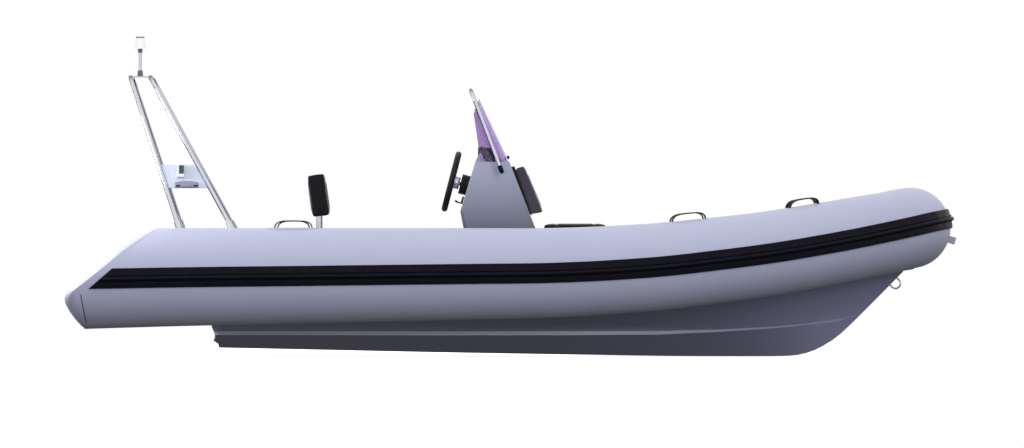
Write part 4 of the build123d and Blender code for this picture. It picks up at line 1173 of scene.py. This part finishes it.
def cut_at_transom(sheet, outwards):
    """Cuts a sheet off along the raked transom and turns its faces outwards."""
    astern = (cos(TRANSOM_RAKE), 0, sin(TRANSOM_RAKE))
    edit(sheet)
    bpy.ops.mesh.bisect(plane_co=TRANSOM_FOOT, plane_no=astern, clear_inner=True)
    bpy.ops.object.mode_set(mode="OBJECT")
    if sum(face.normal.dot(outwards) for face in sheet.data.polygons) < 0:
        edit(sheet)
        bpy.ops.mesh.flip_normals()
        bpy.ops.object.mode_set(mode="OBJECT")


skin = bent_grid("faired_bottom_skin", SKIN_ROWS, 2 * HALF_COLUMNS, on_skin)
cut_at_transom(skin, Vector((0, 0, -1)))
dress(skin, HULL_COAT_PAINTED_LIGHT, "hull_gelcoat", smooth=40)

# %% Spray rails
RAIL_LIFT = 0.0008
RAIL_TUCK = 0.002
RAIL_ROWS = 77  # on the same stations as the skin's rows
FACE_SHARE = 1 / 1.2  # of a rail's width; the rest is tucked in above its face


def on_rail(row, across, side):
    """A point of a rail, from the foot of its face to its tucked upper edge."""
    _, foot, top, _ = sections[row]
    up_face = (across + 1) / 2 / FACE_SHARE
    offset, height = foot.lerp(top, min(1.0, up_face))
    tucked = RAIL_TUCK * max(0.0, up_face - 1.0)
    return row_x(row), side * (offset + RAIL_LIFT - tucked), height


rails = []
for side in (-1, 1):
    rail = bent_grid("rail", RAIL_ROWS, 3, lambda row, across: on_rail(row, across, side))
    cut_at_transom(rail, Vector((0, side, 0)))
    rails.append(rail)
dress(merged("spray_rails", rails), RAIL_COAT_PAINTED_HIGHLIGHT, "hull_gelcoat", smooth=40)

# %% [markdown]
# ## Small rubber and steel pieces
#
# A few small things finish the outline: a dark bead low on each sewn tail, the
# cap's seam with painted shadow along its edge, a black pad under the bow where
# the stem meets the tube, the hull's flange there in painted shade, boots on the
# feet of the windscreen's rail, a polished sleeve round the wheel's hub, a short
# lever below it and knobs along the screen's foot. Most are round, so one helper
# extrudes a circle ring by ring, and another cuts flat plates.


# %% Helpers for small pieces
def turned(name, place, axis, rings, sides=28):
    """A round piece along an axis, extruded ring by ring: rings are (distance along, radius)."""
    bpy.ops.object.select_all(action="DESELECT")
    bpy.ops.mesh.primitive_circle_add(vertices=sides, radius=rings[0][1], fill_type="NGON")
    made = bpy.context.object
    made.name = name
    edit(made)
    bpy.ops.transform.translate(value=(0, 0, rings[0][0]))
    for (low, inner), (high, outer) in zip(rings, rings[1:]):
        bpy.ops.mesh.extrude_region_move(TRANSFORM_OT_translate={"value": (0, 0, high - low)})
        wider = outer / inner
        bpy.ops.transform.resize(value=(wider, wider, 1), center_override=(0, 0, high))
    bpy.ops.object.mode_set(mode="OBJECT")
    faced_outwards(made)
    made.location = place
    made.rotation_euler = Vector(axis).to_track_quat("Z", "Y").to_euler()
    bpy.ops.object.transform_apply()
    return made


def slab(name, corners, thick, edge, place=(0, 0, 0), turn=(0, 0, 0)):
    """A flat plate cut to an outline, with rounded edges, laid in a plane."""
    made = outline(name, corners)
    made.data.extrude = thick / 2 - edge
    made.data.bevel_depth = edge
    made.data.bevel_resolution = 2
    made.data.fill_mode = "BOTH"
    bpy.ops.object.convert(target="MESH")
    made = bpy.context.object
    faced_outwards(made, merge=0.00002)
    made.location, made.rotation_euler = place, turn
    bpy.ops.object.transform_apply()
    return made


# %% Tail beads: the caps' seams with painted shadow
BEAD_R = 0.0022
BEAD_LINE = (
    # x, z
    (-2.399, 0.122), (-2.392, 0.080), (-2.383, 0.030), (-2.374, -0.020), (-2.366, -0.064),
)

# Each bead is the cap's seam, made black as a painted shadow along the cap's edge.
for side, name in SIDES:
    places = [(x, side * (TUBE_OFFSET + cap_rim(x, z)), z) for x, z in BEAD_LINE]
    seam_and_shadow_bead = sweep(f"tail_bead_{name}", places, round_r=BEAD_R, sides=3, steps=6)
    dress(seam_and_shadow_bead, BLACK_RUBBER, "black_rubber", smooth=60)

# %% Stem pad: the stem's flange in painted shade
STEM_PAD_ENDS = (
    # x, half width, underside
    (2.200, 0.026, 0.2515),
    (2.262, 0.015, 0.2620),
)
STEM_PAD_TOP = 0.2750

# The black pad stands for the hull's flange at the stem, its black a painted shade under the tube.
bpy.ops.object.select_all(action="DESELECT")
bpy.ops.mesh.primitive_cube_add(size=2)
stem_shade_pad = bpy.context.object
stem_shade_pad.name = "stem_shade_pad"
for vertex in stem_shade_pad.data.vertices:
    x, half_wide, underside = STEM_PAD_ENDS[vertex.co.x > 0]
    vertex.co = (x, vertex.co.y * half_wide, STEM_PAD_TOP if vertex.co.z > 0 else underside)
shaped(stem_shade_pad, "BEVEL", width=0.003, segments=3)
dress(stem_shade_pad, BLACK_RUBBER, "black_rubber", smooth=40)

# %% Rail boots
SCREEN_RAIL_FOOT = (-0.0588, 0.299, 0.820)
SCREEN_RAIL_HEAD = (-0.228, 0.236, 1.265)
BOOT_RINGS = (
    (-0.022, 0.005), (-0.020, 0.0095), (-0.014, 0.0125), (0.000, 0.0135),
    (0.014, 0.0132), (0.022, 0.0124), (0.024, 0.0112),
)

boots = []
for side in (-1, 1):
    foot, head = (Vector((x, side * y, z)) for x, y, z in (SCREEN_RAIL_FOOT, SCREEN_RAIL_HEAD))
    boots.append(turned("boot", foot, head - foot, BOOT_RINGS))
dress(merged("rail_boots", boots), BLACK_RUBBER, "black_rubber", smooth=50)

# %% Hub sleeve and lever
WHEEL_CENTRE = Vector((-0.337, 0, 0.754))
WHEEL_TILT = radians(14.5)
WHEEL_FORWARD = Vector((cos(WHEEL_TILT), 0, -sin(WHEEL_TILT)))
SLEEVE_RINGS = (
    (0.010, 0.0318), (0.010, 0.0350), (0.014, 0.0360), (0.020, 0.0340),
    (0.040, 0.0330), (0.0445, 0.0345), (0.0445, 0.0318),
)
LEVER_PLACES = (
    (-0.2700, -0.150, 0.6300), (-0.2850, -0.150, 0.6330),
    (-0.3020, -0.150, 0.6380), (-0.3170, -0.150, 0.6460),
)
LEVER_PLATE, DASH_FACING = (-0.2740, -0.150, 0.6500), (-0.957, 0, 0.29)
LEVER_R, LEVER_SWELL = 0.0042, (1.0, 0.9, 1.0, 1.5)
LEVER_PLATE_RINGS = ((-0.004, 0.020), (0.004, 0.020), (0.007, 0.016))

sleeve = turned("wheel_hub_sleeve", WHEEL_CENTRE, WHEEL_FORWARD, SLEEVE_RINGS, sides=48)
dress(sleeve, STAINLESS, "stainless", body="steering", smooth=50)
lever = sweep("lever", LEVER_PLACES, radii=LEVER_SWELL, round_r=LEVER_R, sides=4, steps=6)
plate = turned("lever_plate", LEVER_PLATE, DASH_FACING, LEVER_PLATE_RINGS)
dress(merged("dash_lever", [lever, plate]), BLACK_PLASTIC, "dash_black", smooth=50)

# %% Windscreen knobs
KNOB_RINGS = ((-0.004, 0.0085), (0.004, 0.0090), (0.008, 0.0075), (0.010, 0.0035))
KNOB_X, KNOB_Z = -0.021, 0.889
KNOB_OFFSETS = (-0.20, -0.07, 0.07, 0.20)
SCREEN_FACING = (0.905, 0, 0.425)

knobs = [
    turned("knob", (KNOB_X, offset, KNOB_Z), SCREEN_FACING, KNOB_RINGS, sides=20)
    for offset in KNOB_OFFSETS
]
dress(merged("screen_knobs", knobs), BLACK_PLASTIC, "dash_black", smooth=50)

# %% [markdown]
# ## Horn covers, mast and pad backing
#
# Each horn sits behind a crowned cover with a dark slot at either end and a
# short round bell between them. The cover is a plate cut to its outline, with
# soft edges, laid in the plane of the arch's leaning legs. The pole of the
# mast is a plain steel tube between two plastic sockets. A black visor stands
# out behind the dash, and a black foam wedge behind the console's pad takes up
# the gap to the sloping moulding.

# %% Horn covers
LEG_LEAN = atan2(0.230, 0.850)
HORN_MIDDLE = Vector((-1.817, 0.4965, 0.7180))
HORN_OUTLINE = (
    (-0.0615, 0.0015), (0.0615, 0.0015), (0.0625, 0.0240), (0.0450, 0.0275), (0.0220, 0.0305),
    (0.0, 0.0315), (-0.0220, 0.0305), (-0.0450, 0.0275), (-0.0625, 0.0240),
)
SLOT_OUTLINE = ((-0.0120, 0.0), (0.0120, 0.0), (0.0120, 0.0068), (-0.0120, 0.0068))
BELL_OUTLINE = (
    (-0.026, 0.0095), (-0.022, 0.0040), (-0.012, 0.0008), (0.0, 0.0),
    (0.012, 0.0008), (0.022, 0.0040), (0.026, 0.0095),
)
COVER_THICK, BELL_THICK, SLOT_THICK = 0.024, 0.010, 0.004
SLOTS_ALONG = (-0.049, 0.050)


def on_leg_plane(side, along, up, out):
    """A place near the horn: along the boat, up the leaning legs and outboard from them."""
    offset = HORN_MIDDLE.y - up * sin(LEG_LEAN) + out * cos(LEG_LEAN)
    height = HORN_MIDDLE.z + up * cos(LEG_LEAN) + out * sin(LEG_LEAN)
    return HORN_MIDDLE.x + along, side * offset, height


def lying_on_legs(side):
    """Turns a plate so that its x runs along the boat and its y up the leaning legs."""
    return radians(90) + side * LEG_LEAN, 0, 0


shells, bells, slots = [], [], []
for side in (-1, 1):
    turn = lying_on_legs(side)
    against_legs = on_leg_plane(side, 0, 0, COVER_THICK / 2)
    shells.append(slab("cover", HORN_OUTLINE, COVER_THICK, 0.003, against_legs, turn))
    on_cover = on_leg_plane(side, 0.002, 0.0005, 0.022)
    bells.append(slab("bell", BELL_OUTLINE, BELL_THICK, 0.002, on_cover, turn))
    for along in SLOTS_ALONG:
        at_end = on_leg_plane(side, along, 0.002, 0.0235)
        slots.append(slab("slot", SLOT_OUTLINE, SLOT_THICK, 0.0008, at_end, turn))
horns = merged("horn_cover_shells", shells + bells)
dress(horns, HORN_GREY, "grey_plastic", "horn_covers", smooth=40)
dress(merged("horn_slots", slots), BLACK_PLASTIC, "dash_black", smooth=40)

# %% Mast tube
MAST_X = -2.086
MAST_RINGS = ((1.379, 0.0092), (1.477, 0.0092))
mast_tube = turned("mast_tube", (MAST_X, 0, 0), (0, 0, 1), MAST_RINGS)
dress(mast_tube, STAINLESS, "stainless", smooth=50)

# %% Instrument visor and pad backing
VISOR_SIDE = (
    # x, z
    (-0.1500, 0.9300), (-0.1640, 0.9470), (-0.1850, 0.9440),
    (-0.1860, 0.9000), (-0.1850, 0.8720), (-0.1500, 0.8720),
)
BACKING_SIDE = ((-0.0005, 0.8370), (0.0125, 0.8370), (0.1125, 0.5710), (0.1035, 0.5710))  # x, z
VISOR_WIDE, BACKING_WIDE = 0.400, 0.380
UPRIGHT = (radians(90), 0, 0)  # stands an outline on its edge, facing abeam

visor = slab("instrument_visor", VISOR_SIDE, VISOR_WIDE, 0.0025, turn=UPRIGHT)
dress(visor, BLACK_PLASTIC, "dash_black", smooth=30)
backing = slab("pad_backing", BACKING_SIDE, BACKING_WIDE, 0.0004, turn=UPRIGHT)
dress(backing, BLACK_VINYL, "cushion_black", smooth=30)

# %% [markdown]
# ## Hinges, latches and valves
#
# Each lid swings on two steel hinges along its forward edge. A hinge is a
# knuckle round the pin, a leaf screwed to what stands still and a second leaf
# screwed to the lid. The knuckle sits exactly on the lid's axis, so it stays in
# place while the lid turns about it. A round latch sits flush in the bow hatch,
# and a hasp hangs down behind the helm seat. The tube's air valves are capped
# discs on its inboard side, where a knee can't knock them.

# %% Hinges of the seat lids
KNUCKLE_RINGS = (
    (-0.024, 0.0032), (-0.022, 0.0052), (-0.0085, 0.0052), (-0.0075, 0.0044),
    (0.0075, 0.0044), (0.0085, 0.0052), (0.022, 0.0052), (0.024, 0.0032),
)
LEAF_THICK = 0.0018
LEAF_HALF = 0.022
LEAF_CLIP = 0.003
FIXED_LEAF = (0.002, 0.036)  # from the pin, down the locker
SCREWS_FROM_PIN, SCREW_SPREAD = 0.024, 0.013
SCREW_RINGS = ((-0.001, 0.0034), (0.0006, 0.0034), (0.0013, 0.0022))
DOWN = (0, radians(90), 0)  # turns a leaf's own x straight down
LIDS = (
    # body, hinge x and z, distance of the hinges from the middle, edge of the lid, lid top
    ("front_lid", 0.5530, 0.4425, 0.160, 0.5449, 0.460),
    ("helm_lid", -0.6320, 0.3725, 0.200, -0.6400, 0.390),
)


def leaf(low, high, half, place, turn=(0, 0, 0)):
    """A hinge leaf with clipped corners, from low to high along its own x."""
    corners = (
        (low, -half), (high - LEAF_CLIP, -half), (high, LEAF_CLIP - half),
        (high, half - LEAF_CLIP), (high - LEAF_CLIP, half), (low, half),
    )
    return slab("leaf", corners, LEAF_THICK, 0.0005, place, turn)


def screws(x, y, z, spread, axis):
    """Two low domed screw heads side by side."""
    return [
        turned("screw", (x, y + step, z), axis, SCREW_RINGS, sides=12) for step in (-spread, spread)
    ]


def knuckle(x, y, z):
    return turned("knuckle", (x, y, z), (0, 1, 0), KNUCKLE_RINGS, sides=20)


hinges = []
fittings = {}
for body, x, z, spread, edge_x, top in LIDS:
    to_top = z - top + 0.001
    on_edge = edge_x + LEAF_THICK / 2
    fittings[body] = []
    for y in (-spread, spread):
        hinges += [knuckle(x, y, z), leaf(*FIXED_LEAF, LEAF_HALF, (on_edge, y, z), DOWN)]
        hinges += screws(edge_x + LEAF_THICK, y, z - SCREWS_FROM_PIN, SCREW_SPREAD, (1, 0, 0))
        fittings[body].append(leaf(to_top, -0.004, LEAF_HALF, (on_edge, y, z), DOWN))

# %% Hasp of the helm seat
HELM_LID_AFT = -1.0600
HASP_KNOB_RINGS = ((0.0, 0.010), (0.004, 0.009), (0.006, 0.006))
behind = HELM_LID_AFT - LEAF_THICK / 2
_, _, z, _, _, top = LIDS[1]
fittings["helm_lid"].append(leaf(z - top + 0.001, 0.034, 0.016, (behind, 0, z), DOWN))
fittings["helm_lid"] += screws(behind - LEAF_THICK / 2, 0, z + 0.010, 0.009, (-1, 0, 0))
fittings["helm_lid"].append(turned("knob", (behind, 0, z - 0.020), (-1, 0, 0), HASP_KNOB_RINGS))

# %% Hinges and latch of the bow hatch
HATCH_X, HATCH_Z = 1.7680, 0.3725
HATCH_EDGE, HATCH_TOP, BOW_DECK = 1.7600, 0.390, 0.370
HATCH_HINGES = (-0.10, 0.10)
LATCH_X = 1.352
LATCH_RINGS = (
    (-0.002, 0.024), (0.0014, 0.024), (0.0022, 0.021), (0.0022, 0.015), (0.0008, 0.013),
)
fittings["bow_lid"] = [turned("latch", (LATCH_X, 0, HATCH_TOP), (0, 0, 1), LATCH_RINGS)]
for y in HATCH_HINGES:
    on_deck, on_edge = BOW_DECK + LEAF_THICK / 2, HATCH_EDGE + LEAF_THICK / 2
    hinges += [knuckle(HATCH_X, y, HATCH_Z), leaf(0.004, 0.034, LEAF_HALF, (HATCH_X, y, on_deck))]
    on_leaf = BOW_DECK + LEAF_THICK
    hinges += screws(HATCH_X + SCREWS_FROM_PIN, y, on_leaf, SCREW_SPREAD, (0, 0, 1))
    fittings["bow_lid"].append(leaf(-0.014, -0.003, LEAF_HALF, (on_edge, y, HATCH_Z), DOWN))

for body, pieces in fittings.items():
    dress(merged(f"{body}_fittings", pieces), STAINLESS, "stainless", body=body, smooth=40)
dress(merged("hinges", hinges), STAINLESS, "stainless", smooth=40)

# %% Air valves
VALVE_RINGS = (
    (-0.004, 0.032), (0.0015, 0.032), (0.0030, 0.029), (0.0035, 0.023),
    (0.0085, 0.022), (0.0105, 0.019), (0.0110, 0.008),
)
VALVES = ((-1.10, tube_height(-1.10)), (0.45, 0.252))  # x, height of the tube's centre
VALVE_RISE = radians(50)

valves = []
for x, height in VALVES:
    for side in (-1, 1):
        inboard_up = Vector((0, -side * cos(VALVE_RISE), sin(VALVE_RISE)))
        on_skin_there = Vector((x, side * TUBE_OFFSET, height)) + inboard_up * tube_radius(x)
        valves.append(turned("valve", on_skin_there, inboard_up, VALVE_RINGS, sides=32))
dress(merged("air_valves", valves), BLACK_PLASTIC, "dash_black", smooth=40)
